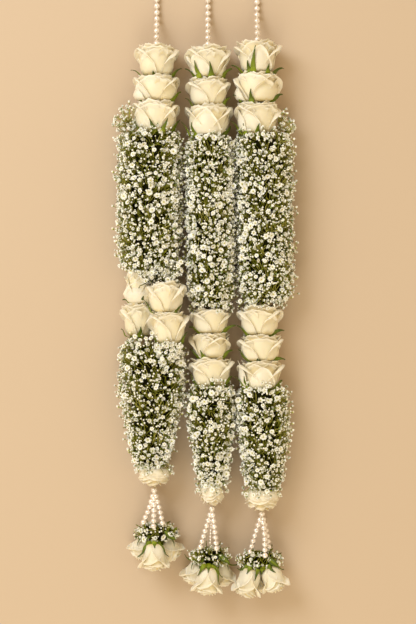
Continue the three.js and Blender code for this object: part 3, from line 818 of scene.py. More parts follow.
def broad_petals(aim, random):
    """The four petals that show, where a low broad one lies over the base of the others."""
    return [
        back_petal(aim, random, reflex=0.5, frill=0.014),
        Petal(aim - 84, 0.95, 80, 0.92, 0.50, 2.4, 0.7, **BROAD_SIDE),
        Petal(aim + 84, 0.96, 78, 0.86, 0.60, 2.2, 0.6, **BROAD_SIDE),
        Petal(aim + 10, 0.98, 78, 0.66, 0.36, 2.6, 0.7, bulge=0.0014, roll=0.0012, lift=0.0016, lip=0.12),
    ]


# The inner rings of a bloom: petals, fit, height, half spread, lean inwards, roll of the lip, ripple.
INNER_RINGS = [
    (4, 0.885, 1.000, 64, 0.00, 0.85, 0.0012),
    (4, 0.825, 1.030, 66, 0.04, 0.75, 0.0012),
    (5, 0.745, 1.050, 62, 0.10, 0.60, 0.0012),
    (4, 0.650, 1.030, 76, 0.18, 0.40, 0.0010),
    (4, 0.540, 1.030, 84, 0.24, 0.25, 0.0008),
    (3, 0.400, 1.010, 100, 0.30, 0.12, 0.0005),
    (2, 0.240, 0.980, 150, 0.25, 0.05, 0.0003),
]
HEART = 0.70                    # rings that fit closer than this are the heart
RING_TURN = 137.5               # degrees from one ring to the next
RING_STEP = 0.012               # how much closer each petal of a ring fits than the one before


def bloom(shape, place, outer, outline, radius, height, random, pressed=1.0, rings=INNER_RINGS,
          drop=0.16, frill=0.022, bulge=0.0):
    """Adds a bloom. place carries its own frame, opening towards +Y, to the lei's. A rose with another
    one on top has its heart pressed down to this share of its height."""
    petals = list(outer)
    turn = random.random() * 360
    for count, fit, tall, spread, closing, reflex, ripple in rings:
        down = pressed if fit < HEART else 1.0
        turn += RING_TURN
        for k in range(count):
            angle = turn + 360 * k / count + wobble(random, 12)
            petal_height = tall * down * (0.985 + 0.03 * random.random())
            petals.append(
                Petal(angle, fit - RING_STEP * k, spread, petal_height, drop, 2.2, reflex, closing,
                      ripple, 0.0006, frill=frill, bulge=bulge)
            )
    for petal in petals:
        sheet = petal_sheet(petal, outline, radius, height, random)
        shape.add_placed(place, *sheet, clearance=LOWEST_PETAL)


# Each large rose: its outline, its outer petals, where they look (degrees to the right of the
# front), and how far its heart is pressed down by what stands on it.
ROSES = {
    "left_top_rose_1": (BARREL, meeting_petals, -2, 0.93),
    "left_top_rose_2": (BARREL, meeting_petals, -4, 0.93),
    "left_top_rose_3": (CUP, meeting_petals, 12, 1.0),
    "middle_top_rose_1": (BARREL, egg_petals, -5, 0.93),
    "middle_top_rose_2": (CUP, meeting_petals, 12, 0.93),
    "middle_top_rose_3": (CUP, meeting_petals, 20, 1.0),
    "right_top_rose_1": (CUP, meeting_petals, 24, 0.93),
    "right_top_rose_2": (BARREL, meeting_petals, -28, 0.93),
    "right_top_rose_3": (CUP, egg_petals, 4, 1.0),
    "left_middle_back_rose_1": (CUP, meeting_petals, 2, 0.93),
    "left_middle_back_rose_2": (ROUND, broad_petals, -14, 0.97),
    "left_middle_front_rose_1": (CUP, meeting_petals, 22, 0.93),
    "left_middle_front_rose_2": (BARREL, meeting_petals, 6, 0.97),
    "middle_middle_rose_1": (CUP, meeting_petals, 10, 0.93),
    "middle_middle_rose_2": (CUP, meeting_petals, -38, 0.93),
    "middle_middle_rose_3": (CUP, meeting_petals, 16, 0.97),
    "right_middle_rose_1": (CUP, egg_petals, 4, 0.93),
    "right_middle_rose_2": (CUP, meeting_petals, 4, 0.93),
    "right_middle_rose_3": (CUP, meeting_petals, -8, 0.97),
}
# Loose outer petals that have dropped away from some roses.
LOOSE = {
    "right_middle_rose_1": [Petal(-88, 1.10, 44, 1.04, 0.35, 2.0, 0.3, bulge=0.0015)],
    "right_top_rose_1": [Petal(-84, 1.09, 42, 0.82, 0.35, 2.0, 0.3, bulge=0.0012)],
    "right_top_rose_2": [Petal(-86, 1.08, 42, 0.62, 0.40, 2.0, 0.5, bulge=0.0012)],
    "left_top_rose_2": [Petal(-82, 1.06, 46, 0.60, 0.40, 2.0, 0.4, bulge=0.0015)],
    "middle_top_rose_3": [
        Petal(-86, 1.03, 50, 0.70, 0.70, 2.2, 1.4, tip=0.14),
        Petal(88, 1.03, 50, 0.64, 0.70, 2.2, 1.4, tip=0.14),
    ],
}
# Roses that are a little off: to the right in metres, share of their width and of their height.
UNEVEN = {
    "left_middle_front_rose_2": (-0.0035, 0.94, 1.0),
    "left_middle_back_rose_2": (0.0005, 0.97, 1.10),
}
SEATED = 0.0026                 # how deep a rose sits in the one below
BLOOM_WIDTH = 0.97              # of a bloom's outline, as a share of its node's
BLOOM_HEIGHT = 0.98


def rose_frame(rose):
    """The middle of a rose's base, its radius and its height, from the frame."""
    low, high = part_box(rose)
    middle = (low + high) / 2
    aside, wide, tall = UNEVEN.get(rose, (0, 1, 1))
    radius = (high.x - low.x + high.z - low.z) / 4 * wide
    base = Vector((middle.x + aside, low.y - SEATED, middle.z))
    return base, radius * BLOOM_WIDTH, (high.y - low.y) * tall + SEATED


def large_roses():
    for number, (rose, (outline, outer_petals, aim, pressed)) in enumerate(ROSES.items()):
        base, radius, height = rose_frame(rose)
        random = np.random.default_rng(100 + number)
        shape = Shape()
        place = Matrix.Translation(base)
        petals = outer_petals(aim, random) + LOOSE.get(rose, [])
        bloom(shape, place, petals, outline, radius, height * BLOOM_HEIGHT, random, pressed)
        shape.piece(rose + "_bloom", PETAL, "petal", [rose])


large_roses()

# ------------------------------------------------------------------ calyxes

SEPAL_ROWS = 15
PETAL_CLEAR = 0.0026            # sepals lie this far outside the bloom's outline
UP = np.array([0, 1.0, 0])      # of a bloom's own frame
BESIDE = 0.94                   # tips further out than this share of the bloom stand free in the air
FREE_TURN = 1.30                # how far round from the front, in radians, those tips stand
# Shares of a sepal's length, and its width there as a share of its full width.
HUGGING_WIDTHS = ([0, 0.18, 0.34, 0.6, 0.8, 1], [0.5, 1.1, 1.08, 0.52, 0.2, 0.04])
SPLAYED_WIDTHS = ([0, 0.15, 0.35, 0.6, 0.8, 1], [0.6, 1, 0.85, 0.42, 0.18, 0.07])

# The sepals that show round each large rose, in millimetres from the middle of its base: how far
# to the right a sepal comes out from under the bloom, and where its tip is, to the right and up.
SEPALS = {
    "left_top_rose_1": [(-1, -8, 12), (8, 15, 13), (21, 30, 13), (-21, -27, 9)],
    "left_top_rose_2": [(20, 31, 10), (-19, -27, 4)],
    "left_top_rose_3": [(-19, -32, 6), (20, 32, 8), (-3, -4, 3)],
    "middle_top_rose_1": [(-17, -21, 14), (-24, -34, 17), (19, 28, 11)],
    "middle_top_rose_2": [(-20, -29, 8), (18, 28, 9)],
    "middle_top_rose_3": [(-16, -29, 10), (-11, -17, 18), (5, 2, 16), (17, 30, 10)],
    "right_top_rose_1": [(-17, -19, 10), (-24, -34, 15), (-3, 1, 9)],
    "right_top_rose_2": [(-9, -9, 12), (-22, -31, 7), (16, 31, 8)],
    "right_top_rose_3": [(-7, -3, 30), (-11, -13, 12), (-19, -33, 8), (13, 14, 8), (20, 33, 4)],
    "left_middle_back_rose_1": [(3, 3, 9), (-17, -22, 7)],
    "left_middle_back_rose_2": [(-12, -21, 4), (2, 6, 8)],
    "left_middle_front_rose_1": [(-14, -23, 17), (17, 24, 13)],
    "left_middle_front_rose_2": [(-19, -28, 16), (11, 21, 8)],
    "middle_middle_rose_1": [(-17, -26, 15), (2, 2, 10), (15, 27, 12)],
    "middle_middle_rose_2": [(-15, -26, 10), (-8, -13, 8), (12, 28, 9)],
    "middle_middle_rose_3": [(-14, -27, 7), (14, 32, 9)],
    "right_middle_rose_1": [(-20, -33, 15), (-17, -21, 14), (19, 27, 10)],
    "right_middle_rose_2": [(-14, -28, 14), (-4, -3, 3), (12, 31, 1)],
    "right_middle_rose_3": [(-16, -29, 11), (-15, -16, -3), (12, 30, 5)],
}
# The stacks of roses that share one calyx node, and how many roses each has.
STACKS = {
    "left_top": 3,
    "left_middle_back": 2,
    "left_middle_front": 2,
    "middle_top": 3,
    "middle_middle": 3,
    "right_top": 3,
    "right_middle": 3,
}


def sepal_strip(grid):
    """Points and faces of a sepal that thins towards its tip."""
    v = np.linspace(0, 1, SEPAL_ROWS)
    return sheet_of(grid, 0.00055 - 0.0002 * v[:, None])


def splayed_sepal(angle, radius, height, length=0.018, width=0.0044, splay=0.4, curl=0.5):
    """A sepal at this angle round a tassel rose, in the bloom's frame. It leaves the petals for a
    splay from the bloom's axis, and its thread-like tip curls out."""
    outline = BELL * [radius, height]
    steps = distances_along(outline)
    v = np.linspace(0, 1, SEPAL_ROWS)
    travel = v * length + 0.0052
    r = np.interp(travel, steps, outline[:, 0])
    h = np.interp(travel, steps, outline[:, 1])
    lean = np.arctan2(np.gradient(r), np.gradient(h))
    lean = lean + (splay - lean) * smooth_step(v, 0.12, 0.5) + curl * smooth_step(v, 0.55, 1.0)
    step = length / (SEPAL_ROWS - 1)
    r = r[0] + 0.0009 + np.concatenate([[0], np.cumsum(step * np.sin(lean[1:]))])
    h = h[0] - 0.0012 + np.concatenate([[0], np.cumsum(step * np.cos(lean[1:]))])
    half = width / 2 * np.interp(v, *SPLAYED_WIDTHS)
    turn = math.radians(angle)
    outward = np.array([math.sin(turn), 0, math.cos(turn)])
    aside = np.array([math.cos(turn), 0, -math.sin(turn)])
    centre = r[:, None] * outward + h[:, None] * UP
    grid, tones = folded_strip(centre, half, aside, outward, 0.22, 0.05 + 0.85 * v**0.8)
    return *sepal_strip(grid), tones


def sepal_between(foot, tip, width, radius, outline, height, random, back=False, clear=PETAL_CLEAR):
    """A sepal that comes out from under a bloom at this X and ends at its tip: on the petals where
    the tip lies before the bloom, and free in the air beside it."""
    outline = outline * [radius, height]
    tip_x, tip_y = tip

    def surface(h):
        return np.interp(h, outline[:, 1], outline[:, 0]) + clear * smooth_step(h, 0, 0.3 * height)

    v = np.linspace(0, 1, SEPAL_ROWS)
    reach = surface(max(tip_y, 0.001)) + 0.0008
    free = abs(tip_x) > BESIDE * reach
    turn_foot = math.asin(np.clip(foot / (0.80 * radius), -0.96, 0.96))
    if free:
        turn_tip = math.copysign(FREE_TURN, tip_x)
        turn_foot = turn_foot * 0.55 + turn_tip * 0.45
    else:
        turn_tip = math.asin(np.clip(tip_x / reach, -BESIDE, BESIDE))
    turn = turn_foot + (turn_tip - turn_foot) * v**1.2
    stalk = 0.26 if free else 0.16
    rise = smooth_step(v, stalk, 1.0) * 0.5 + 0.5 * np.clip((v - stalk) / (1 - stalk), 0, 1)
    h = -0.0015 + (tip_y + 0.0015) * rise
    r_foot = abs(foot) / max(abs(math.sin(turn_foot)), 0.25)
    r_foot = min(max(r_foot, 0.5 * radius), 0.9 * radius)
    r = 0.0045 + (r_foot - 0.0045) * smooth_step(v, 0, stalk * 1.5)
    if free:
        r_tip = abs(tip_x) / abs(math.sin(turn_tip))
        r = r + (r_tip - r_foot) * smooth_step(v, stalk, 1.0)
        h = h + 0.0030 * np.sin(np.pi * smooth_step(v, 0.2, 1)) - 0.0010 * smooth_step(v, 0.8, 1)
    r = np.maximum(r, np.where(h > 0.0004, surface(np.maximum(h, 0)) + 0.0007, 0))
    if back:
        turn = math.pi - turn
    outward = np.stack([np.sin(turn), 0 * turn, np.cos(turn)], axis=-1)
    centre = r[:, None] * outward + h[:, None] * UP
    aside = unit(np.cross(unit(np.gradient(centre, axis=0)), outward))
    if free:
        aside = unit(aside + 0.5 * np.array([0, 0, 1.0]))
    half = width / 2 * np.interp(v, *HUGGING_WIDTHS) + 0.00022
    dusk = 0.25 * random.random()
    grid, tones = folded_strip(centre, half, aside, outward, 0.25, 0.02 + 1.0 * v**1.1 + dusk)
    return *sepal_strip(above_table(grid, 0.0006)), tones


def turned_lathe(profile, sides):
    """A lathe round Y."""
    points, faces = lathe_of(profile, sides)
    return points[:, [1, 2, 0]], faces


RECEPTACLE = [
    (0.0026, -0.007), (0.0034, -0.0056), (0.0062, -0.0022), (0.0064, -0.0010), (0.0044, 0.0006),
    (0.0028, 0.0010),
]
RECEPTACLE_TONE = 0.3
CORE = 0.0026                   # radius of the green core in a stack


def rose_calyx(shape, rose, random):
    """The receptacle and the sepals of one large rose. Its two last sepals stay under the petals."""
    base, radius, height = rose_frame(rose)
    outline = ROSES[rose][0]
    place = Matrix.Translation(base)
    shape.add_placed(place, *turned_lathe(RECEPTACLE, 16), RECEPTACLE_TONE)
    for foot, tip_x, tip_y in SEPALS[rose]:
        width = 0.0058 + 0.0020 * random.random() + 0.0018 * (abs(tip_x) > 24)
        tip = (tip_x / 1000, tip_y / 1000 + SEATED)
        sepal = sepal_between(foot / 1000, tip, width, radius, outline, height, random)
        shape.add_placed(place, *sepal)
    for foot in (-0.008, 0.009):
        tip = (foot * 1.25, 0.012)
        sepal = sepal_between(foot, tip, 0.005, radius, outline, height, random, back=True)
        shape.add_placed(place, *sepal, clearance=0.0004)


def calyxes():
    """Receptacles, sepals and the green core that the roses of a stack share."""
    for number, (stack, count) in enumerate(STACKS.items()):
        random = np.random.default_rng(200 + number)
        shape = Shape()
        roses = [f"{stack}_rose_{k + 1}" for k in range(count)]
        for rose in roses:
            rose_calyx(shape, rose, random)
        lowest, _, _ = rose_frame(roses[0])
        highest, _, top_height = rose_frame(roses[-1])
        core = np.linspace(np.array(lowest) - [0, 0.007, 0], np.array(highest) + [0, 0.6 * top_height, 0], 8)
        shape.add(*tube_of(core, CORE, 10), 0.6)
        shape.piece(stack + "_sepals", GREEN, "sepal", [stack + "_calyx"])


calyxes()

# ------------------------------------------------------------------ gypsophila flowers

# Florets, buds and leaves are modelled about one unit in size, looking along +Z.


def petal_fan(count, inner, outer, half_width, tilt, notch, turn, tone):
    """A ring of small notched petals round Z: each is two quads with a fold along its middle."""
    up = np.array([0, 0, 1.0])
    points, quads, tones = [], [], []
    for k in range(count):
        angle = 2 * math.pi * (k + turn) / count
        along = np.array([math.cos(angle), math.sin(angle), 0])
        aside = np.array([-math.sin(angle), math.cos(angle), 0]) * half_width
        tilted = along * math.cos(tilt) + up * math.sin(tilt)
        first = len(points)
        points += [
            along * inner + up * 0.02,
            tilted * 0.62 * outer + aside + up * 0.05,
            tilted * outer + aside * 0.62 - up * 0.04,
            tilted * outer * (1 - notch) - up * 0.03,
            tilted * outer - aside * 0.62 - up * 0.04,
            tilted * 0.62 * outer - aside + up * 0.05,
        ]
        tones += [tone - 0.22, tone, tone, tone, tone, tone]
        quads += [[first, first + 5, first + 4, first + 3], [first, first + 3, first + 2, first + 1]]
    return np.array(points), [np.array(quads)], np.array(tones)


def joined(parts):
    """Several (points, face groups, tones) as one model."""
    points, tones, by_size, count = [], [], {}, 0
    for part_points, groups, part_tones in parts:
        for group in groups:
            group = np.asarray(group)
            by_size.setdefault(group.shape[1], []).append(group + count)
        points.append(part_points)
        tones.append(np.broadcast_to(part_tones, len(part_points)))
        count += len(part_points)
    faces = [np.concatenate(groups) for groups in by_size.values()]
    return np.concatenate(points), faces, np.concatenate(tones)


def cup_model(radius, depth):
    """The little green cup under a floret."""
    profile = [(0.10, -depth), (0.8 * radius, -0.45 * depth), (radius, 0.02)]
    points, faces = lathe_of(profile, 6)
    return points, faces[:2], np.full(len(points), 0.05)


def open_floret(petals, turn, tilt):
    """A double floret: three rings of petals over its cup, each steeper, and a yellowish heart."""
    layers = [(petals, 1.0, 0.34, tilt), (petals - 1, 0.80, 0.28, tilt + 0.36), (petals - 3, 0.52, 0.18, 1.0)]
    parts = [cup_model(0.26, 0.52)]
    for k, (count, reach, half_width, lean) in enumerate(layers):
        parts.append(petal_fan(count, 0.08, reach, half_width, lean, 0.12, turn + 0.5 * k, 1.0 - 0.06 * k))
    heart = lathe_of([(0.26, 0.10), (0.23, 0.26), (0.03, 0.34)], 6)
    parts.append((*heart, 0.27))
    return joined(parts)


def half_open_floret(turn):
    parts = [cup_model(0.34, 0.62)]
    for k, (count, reach, half_width, lean) in enumerate([(5, 0.95, 0.36, 0.95), (4, 0.85, 0.30, 1.25)]):
        parts.append(petal_fan(count, 0.16, reach, half_width, lean, 0.08, turn + 0.5 * k, 0.98))
    return joined(parts)


def bud_model():
    sides = 7
    profile = [(0.10, -0.95), (0.42, -0.72), (0.62, -0.15), (0.58, 0.30), (0.34, 0.66), (0.05, 0.80)]
    points, faces = lathe_of(profile, sides)
    return points, faces, np.repeat([0.0, 0.08, 0.40, 0.9, 1.0, 1.0], sides)


def blade_model():
    """A narrow pointed leaf, folded along its middle."""
    rows = [(0.0, 0.03), (0.3, 0.11), (0.65, 0.09), (1.0, 0.005)]
    points = []
    for z, half in rows:
        points += [(-half, 0.04 * z, z), (0, -0.05, z), (half, 0.04 * z, z)]
    quads = []
    for first in (0, 1, 3, 4, 6, 7):
        quads.append([first, first + 1, first + 4, first + 3])
    return np.array(points), [np.array(quads)], np.repeat([0.2, 0.45, 0.55, 0.6], 3)


OPEN_FLORETS = [open_floret(6, 0.0, 0.10), open_floret(7, 0.3, 0.34), open_floret(5, 0.6, 0.52)]
HALF_OPEN_FLORETS = [half_open_floret(0.0), half_open_floret(0.5)]
FLORETS = OPEN_FLORETS + HALF_OPEN_FLORETS
BUD = bud_model()
BLADE = blade_model()


def stems_between(shape, random, starts, ends, radius, bow, tones):
    """Thin three-sided stems, each bowed a little between its start and its end."""
    count = len(starts)
    t = np.array([0, 0.35, 0.7, 1.0])
    sway = random.normal(size=(count, 3)) * bow
    path = starts[:, None] * (1 - t)[None, :, None] + ends[:, None] * t[None, :, None]
    path = above_table(path + (np.sin(np.pi * t))[None, :, None] * sway[:, None], 0.0008)
    along = unit(np.gradient(path, axis=1))
    across = unit(np.cross(along, np.array([0.31, 0.42, 0.85])))
    lift = np.cross(along, across)
    turns = (2 * np.pi * np.arange(3) / 3)[None, None, :, None]
    thick = (radius * np.array([1.05, 0.82, 0.70, 0.60]))[None, :, None, None]
    around = np.cos(turns) * across[:, :, None] + np.sin(turns) * lift[:, :, None]
    rings = path[:, :, None] + thick * around
    index = np.arange(12).reshape(4, 3)
    steps = (np.arange(count) * index.size)[:, None, None]
    walls = (ring_walls(index)[None] + steps).reshape(-1, 4)
    caps = (np.array([index[0, ::-1], index[-1]])[None] + steps).reshape(-1, 3)
    shape.add(rings, [walls, caps], np.repeat(tones, index.size))


# ------------------------------------------------------------------ gypsophila sleeves


class Sleeve:
    """The shape of a sleeve of gypsophila bound round a strand, or round the head of a tassel."""

    def __init__(self, low, high, axis_x, thread_x, half_width, middle_z, half_height, swell):
        self.low = low
        self.high = high
        self.length = high - low
        self.axis_x = axis_x              # of the sleeve's middle, at a given Y
        self.thread_x = thread_x          # of the thread through it, at a given Y
        self.half_width = half_width
        self.middle_z = middle_z
        self.half_height = half_height
        self.swell = swell                # share of its radius at a share of its length
        self.around = math.pi * (half_width + half_height)
        self.area = self.around * self.length * float(np.mean(swell(np.linspace(0, 1, 50))))

    def at(self, turn, t, depth):
        """Points at these turns round the sleeve, shares of its length and shares of its radius."""
        swell = self.swell(np.clip(t, 0, 1)) * depth
        y = self.low + t * self.length
        x = self.axis_x(y) + np.sin(turn) * swell * self.half_width
        z = self.middle_z + np.cos(turn) * swell * self.half_height
        return np.stack(np.broadcast_arrays(x, y, z), axis=-1)

    def round_flower(self, turn, y, radius):
        """Points round the thread, on a flower next to the sleeve."""
        x = self.thread_x(y) + np.sin(turn) * radius
        z = self.middle_z + np.cos(turn) * radius
        return np.stack(np.broadcast_arrays(x, y, z), axis=-1)

    def outward(self, turn, rise=0.12):
        rise = (rise + 0 * turn) / self.half_height
        across = [np.sin(turn) / self.half_width, rise, np.cos(turn) / self.half_height]
        return unit(np.stack(across, axis=-1))


FORK_AREA = 420e-6              # of a sleeve's surface for each fork of its sprays
FLORET_AREA = 68e-6             # for each open floret on it
BUD_AREA = 27e-6
DEEP_FLORET_AREA = 400e-6       # for each floret in the shade between the sprays
LEAF_AREA = 95e-6
TWIG_AREA = 42e-6
END_AREA = 30e-6                # for each floret or bud that hangs or climbs over a flower
SHOULDER_WIDTH = 0.016          # of the band of florets that lean over a groove
SHOULDER_AREA = 80e-6
FLORET_CLEAR = 0.0015           # the lowest florets' height above the table
SMALL_BUDS = (0.0013, 0.0008)


class Sprays:
    """Florets and buds on forked stems that rise from the middle of a sleeve, over a near-black mass of
    painted shade.

    A pair for sizes, depths or tones is the least and how much more there may be. Depths are
    shares of the sleeve's radius, and tones are those of the stems."""

    def __init__(self, sleeve, seed):
        self.sleeve = sleeve
        self.random = np.random.default_rng(seed)
        self.florets = Shape()
        self.buds = Shape()
        self.stems = Shape()
        # the near-black mass of painted shade inside
        self.thicket = Shape()

    def even_spots(self, area):
        """Evenly spread turns round the sleeve and shares of its length, one for each such area."""
        around, length = self.sleeve.around, self.sleeve.length
        spots = spread_points(self.random, int(self.sleeve.area / area), around, length)
        return spots[:, 0] / around * 2 * np.pi, spots[:, 1] / length

    def random_spots(self, area, least=0.0, extra=1.0):
        """The same, but not evenly spread."""
        count = int(self.sleeve.area / area)
        turn = self.random.random(count) * 2 * np.pi
        return turn, drawn(self.random, count, least, extra)

    def places(self, turn, t, depths, clearance=FLORET_CLEAR):
        depth = drawn(self.random, len(turn), *depths)
        return above_table(self.sleeve.at(turn, t, depth), clearance)

    def add_florets(self, places, outward, sizes, open_share):
        """Florets of all kinds at these places, each looking outward with a little scatter."""
        random, count = self.random, len(places)
        looks = unit(outward + 0.55 * random.normal(size=(count, 3)))
        spins = any_spin(random, count)
        opened = random.random(count) < open_share
        first_half_open = len(OPEN_FLORETS)
        any_open = random.integers(0, first_half_open, count)
        any_half_open = random.integers(first_half_open, len(FLORETS), count)
        kinds = np.where(opened, any_open, any_half_open)
        shade = -0.10 * random.random(count)
        for kind, model in enumerate(FLORETS):
            own = kinds == kind
            scatter(self.florets, model, places[own], looks[own], spins[own], sizes[own], shade[own])

    def add_buds(self, places, outward, sizes):
        random, count = self.random, len(places)
        looks = unit(outward + 0.35 * random.normal(size=(count, 3)))
        spins = any_spin(random, count)
        scatter(self.buds, BUD, places, looks, spins, sizes, -0.08 * random.random(count))

    def add_both(self, places, looks, share, sizes, open_share, bud_sizes=SMALL_BUDS):
        """Florets on this share of the places, and buds on the rest."""
        large = self.random.random(len(places)) < share
        floret_sizes = drawn(self.random, len(places), *sizes)
        self.add_florets(places[large], looks[large], floret_sizes[large], open_share)
        self.add_buds(places[~large], looks[~large], drawn(self.random, (~large).sum(), *bud_sizes))

    def add_stems(self, starts, ends, radius, bow, tones):
        tones = drawn(self.random, len(starts), *tones)
        stems_between(self.stems, self.random, starts, ends, radius, bow, tones)

    def stems_from_forks(self, places, radius, bow):
        """A stem to each place from the nearest fork that lies lower."""
        aim = places - np.array([0, 0.010, 0])
        nearest = np.argmin(((aim[:, None] - self.forks[None]) ** 2).sum(-1), axis=1)
        self.add_stems(self.forks[nearest], places, radius, bow, tones=(0.45, 0.5))

    def grow_forks(self):
        """The forks of the sprays, half way out, on stems from the thread, in a low tone that darkens them as
        painted shade inside the sleeve.
        """
        turn, t = self.even_spots(FORK_AREA)
        self.forks = self.places(turn, t * 0.97, (0.5, 0.15), 0.002)
        lower = np.clip(t - 0.018 / self.sleeve.length, 0.01, 1)
        roots = self.sleeve.at(turn, lower, 0.12)
        self.add_stems(roots, self.forks, radius=0.00065, bow=0.0015, tones=(0.25, 0.3))

    def grow_florets(self):
        """Open florets, well spread over the surface, smaller ones beside some of them, and buds."""
        random = self.random
        turn, t = self.even_spots(FLORET_AREA)
        places = self.places(turn, t, (0.86, 0.13))
        outward = self.sleeve.outward(turn)
        sizes = 0.0026 + 0.0023 * random.random(len(turn)) ** 1.6
        self.add_florets(places, outward, sizes, 0.66)
        self.stems_from_forks(places - outward * 0.0012, radius=0.00045, bow=0.0012)

        chosen = random.random(len(turn)) < 0.6
        count = chosen.sum()
        beside = above_table(places[chosen] + random.normal(size=(count, 3)) * 0.0036, FLORET_CLEAR)
        self.add_florets(beside, outward[chosen], drawn(random, count, 0.0017, 0.0012), 0.4)
        self.stems_from_forks(beside - outward[chosen] * 0.0008, radius=0.00042, bow=0.0012)

        turn, t = self.random_spots(BUD_AREA)
        places = self.places(turn, t, (0.83, 0.20), 0.0012)
        outward = self.sleeve.outward(turn)
        self.add_buds(places, outward, drawn(random, len(turn), 0.0012, 0.0009))
        self.stems_from_forks(places - outward * 0.0010, radius=0.00040, bow=0.0015)

        turn, t = self.random_spots(DEEP_FLORET_AREA, 0.02, 0.96)
        places = self.places(turn, t, (0.66, 0.16))
        sizes = drawn(random, len(turn), 0.0018, 0.0012)
        self.add_florets(places, self.sleeve.outward(turn), sizes, 0.5)

    def grow_over_flower(self, reach, radius, end, way):
        """Sprays over the flower at an end of the sleeve, on the side that shows. way is +1 up."""
        random = self.random
        reach = reach + 0.004
        count = int(2 * math.pi * radius * 0.6 * reach / END_AREA)
        turn = (random.random(count) - 0.5) * 3.9
        y = end - way * 0.004 + way * random.random(count) ** 1.3 * reach
        ring = self.sleeve.round_flower(turn, y, drawn(random, count, radius, 0.003))
        places = above_table(ring, FLORET_CLEAR)
        outward = unit(self.sleeve.outward(turn) * [1, 0, 1] + [0, 0.25 * way, 0])
        self.add_both(places, outward, 0.5, (0.0024, 0.0014), 0.6)
        roots = above_table(self.sleeve.at(turn, 0.04 if way < 0 else 0.96, 0.75), 0.001)
        self.add_stems(roots, places - outward * 0.001, radius=0.00028, bow=0.001, tones=(0.45, 0.5))

    def grow_over_rose(self, rose, count=95):
        """Sprays that climb over the base of a rose that lies in front."""
        random = self.random
        base, radius, _ = rose_frame(rose)
        turn = (random.random(count) - 0.5) * 2.3
        rise = random.random(count)
        ring = radius * (0.42 + 0.44 * rise**0.8) + 0.002
        y = base.y - 0.019 + 0.022 * rise + 0.002 * random.normal(size=count)
        places = np.stack([base.x + np.sin(turn) * ring, y, base.z + np.cos(turn) * ring], axis=-1)
        outward = unit(np.stack([np.sin(turn), 0 * turn - 0.2, np.cos(turn)], axis=-1))
        self.add_both(places, outward, 0.55, (0.0026, 0.0014), 0.65)
        roots = places - outward * 0.006 - [0, 0.003, 0] + 0.003 * random.normal(size=(count, 3))
        self.add_stems(roots, places - outward * 0.001, radius=0.0004, bow=0.001, tones=(0.2, 0.6))

    def grow_behind_rim(self, middle, half, count, twig):
        """Sprays that fill a box behind the rim of a rose that lies in front, and a bare twig."""
        random = self.random
        middle, half = np.array(middle), np.array(half)
        places = middle + (2 * random.random((count, 3)) - 1) * half
        places[:, 2] = middle[2] + half[2] * (1 - 1.6 * random.random(count) ** 1.6)
        looks = unit((places - middle) * [0.6, 0.4, 1] + [0, -0.004, 0.012])
        self.add_both(places, looks, 0.5, (0.0026, 0.0016), 0.65)
        roots = places * [1, 1, 0.8] + [0, 0.007, 0] + 0.004 * random.normal(size=(count, 3))
        self.add_stems(roots, places - looks * 0.001, radius=0.00045, bow=0.0015, tones=(0.1, 0.7))
        self.stems.add(*tube_of(twig, 0.0005, 6), 0.08)

    def grow_strays(self, count):
        """Single florets and buds that stand out at the flanks."""
        random = self.random
        flank = np.where(random.random(count) < 0.5, 1, -1)
        turn = flank * (1.57 + 0.5 * (random.random(count) - 0.5))
        t = random.random(count)
        places = self.places(turn, t, (1.05, 0.08), 0.002)
        outward = self.sleeve.outward(turn, 0.5)
        half_open = np.arange(count) % 3 == 0
        self.add_florets(places[half_open], outward[half_open], np.full(half_open.sum(), 0.0028), 0.0)
        self.add_buds(places[~half_open], outward[~half_open], np.full((~half_open).sum(), 0.0025))
        roots = above_table(self.sleeve.at(turn, np.maximum(t - 0.05, 0), 0.8), 0.002)
        self.add_stems(roots, places, radius=0.00040, bow=0.001, tones=(0.6, 0.4))

    def grow_tuft(self, root, leans, reaches, count, limbs=9):
        """A loose tuft that fans out from its root beside the flower above."""
        random = self.random
        root = np.array(root)
        (least, most), (far, near) = leans, reaches

        def around_root(lean, reach, rise, clearance):
            towards = np.stack([np.sin(lean), np.cos(lean), rise], axis=-1)
            return above_table(root + reach[:, None] * towards, clearance)

        lean = np.linspace(least, most, limbs) + 0.08 * random.normal(size=limbs)
        reach = np.linspace(far, near, limbs) * (0.42 + 0.2 * random.random(limbs))
        rise = np.clip(0.35 * random.normal(size=limbs), -0.5, 0.4)
        tips = around_root(lean, reach, rise, 0.004)
        roots = np.repeat(root[None], limbs, 0)
        stems_between(self.stems, random, roots, tips, 0.0006, 0.002, np.full(limbs, 0.5))
        share = random.random(count)
        lean = least + (most - least) * share
        reach = (far + (near - far) * share) * (1 - 0.62 * random.random(count) ** 1.5)
        rise = np.clip(0.3 * random.normal(size=count), -0.5, 0.45)
        places = around_root(lean, reach, rise, 0.003)
        nearest = np.argmin(((places[:, None] - tips[None]) ** 2).sum(-1), axis=1)
        looks = unit(places - root + [0, 0, 0.02])
        self.add_stems(tips[nearest], places - looks * 0.001, radius=0.00042, bow=0.0015, tones=(0.6, 0.4))
        large = random.random(count) < 0.62
        self.add_florets(places[large], looks[large], drawn(random, large.sum(), 0.0024, 0.0012), 0.5)
        self.add_buds(places[~large], looks[~large], drawn(random, (~large).sum(), 0.0015, 0.0008))

    def grow_leaves(self):
        """Narrow leaves and bare twigs that fill the sprays."""
        random = self.random
        turn, t = self.random_spots(LEAF_AREA, 0.01, 0.97)
        count = len(turn)
        places = self.places(turn, t, (0.55, 0.25), 0.001)
        looks = unit(self.sleeve.outward(turn, 1.2) * 0.6 + 0.5 * random.normal(size=(count, 3)))
        looks[:, 2] = np.where(places[:, 2] < 0.008, np.abs(looks[:, 2]), looks[:, 2])
        spins = any_spin(random, count)
        lengths = drawn(random, count, 0.006, 0.007)
        scatter(self.stems, BLADE, places, looks, spins, lengths, 0.4 * random.random(count) - 0.4)

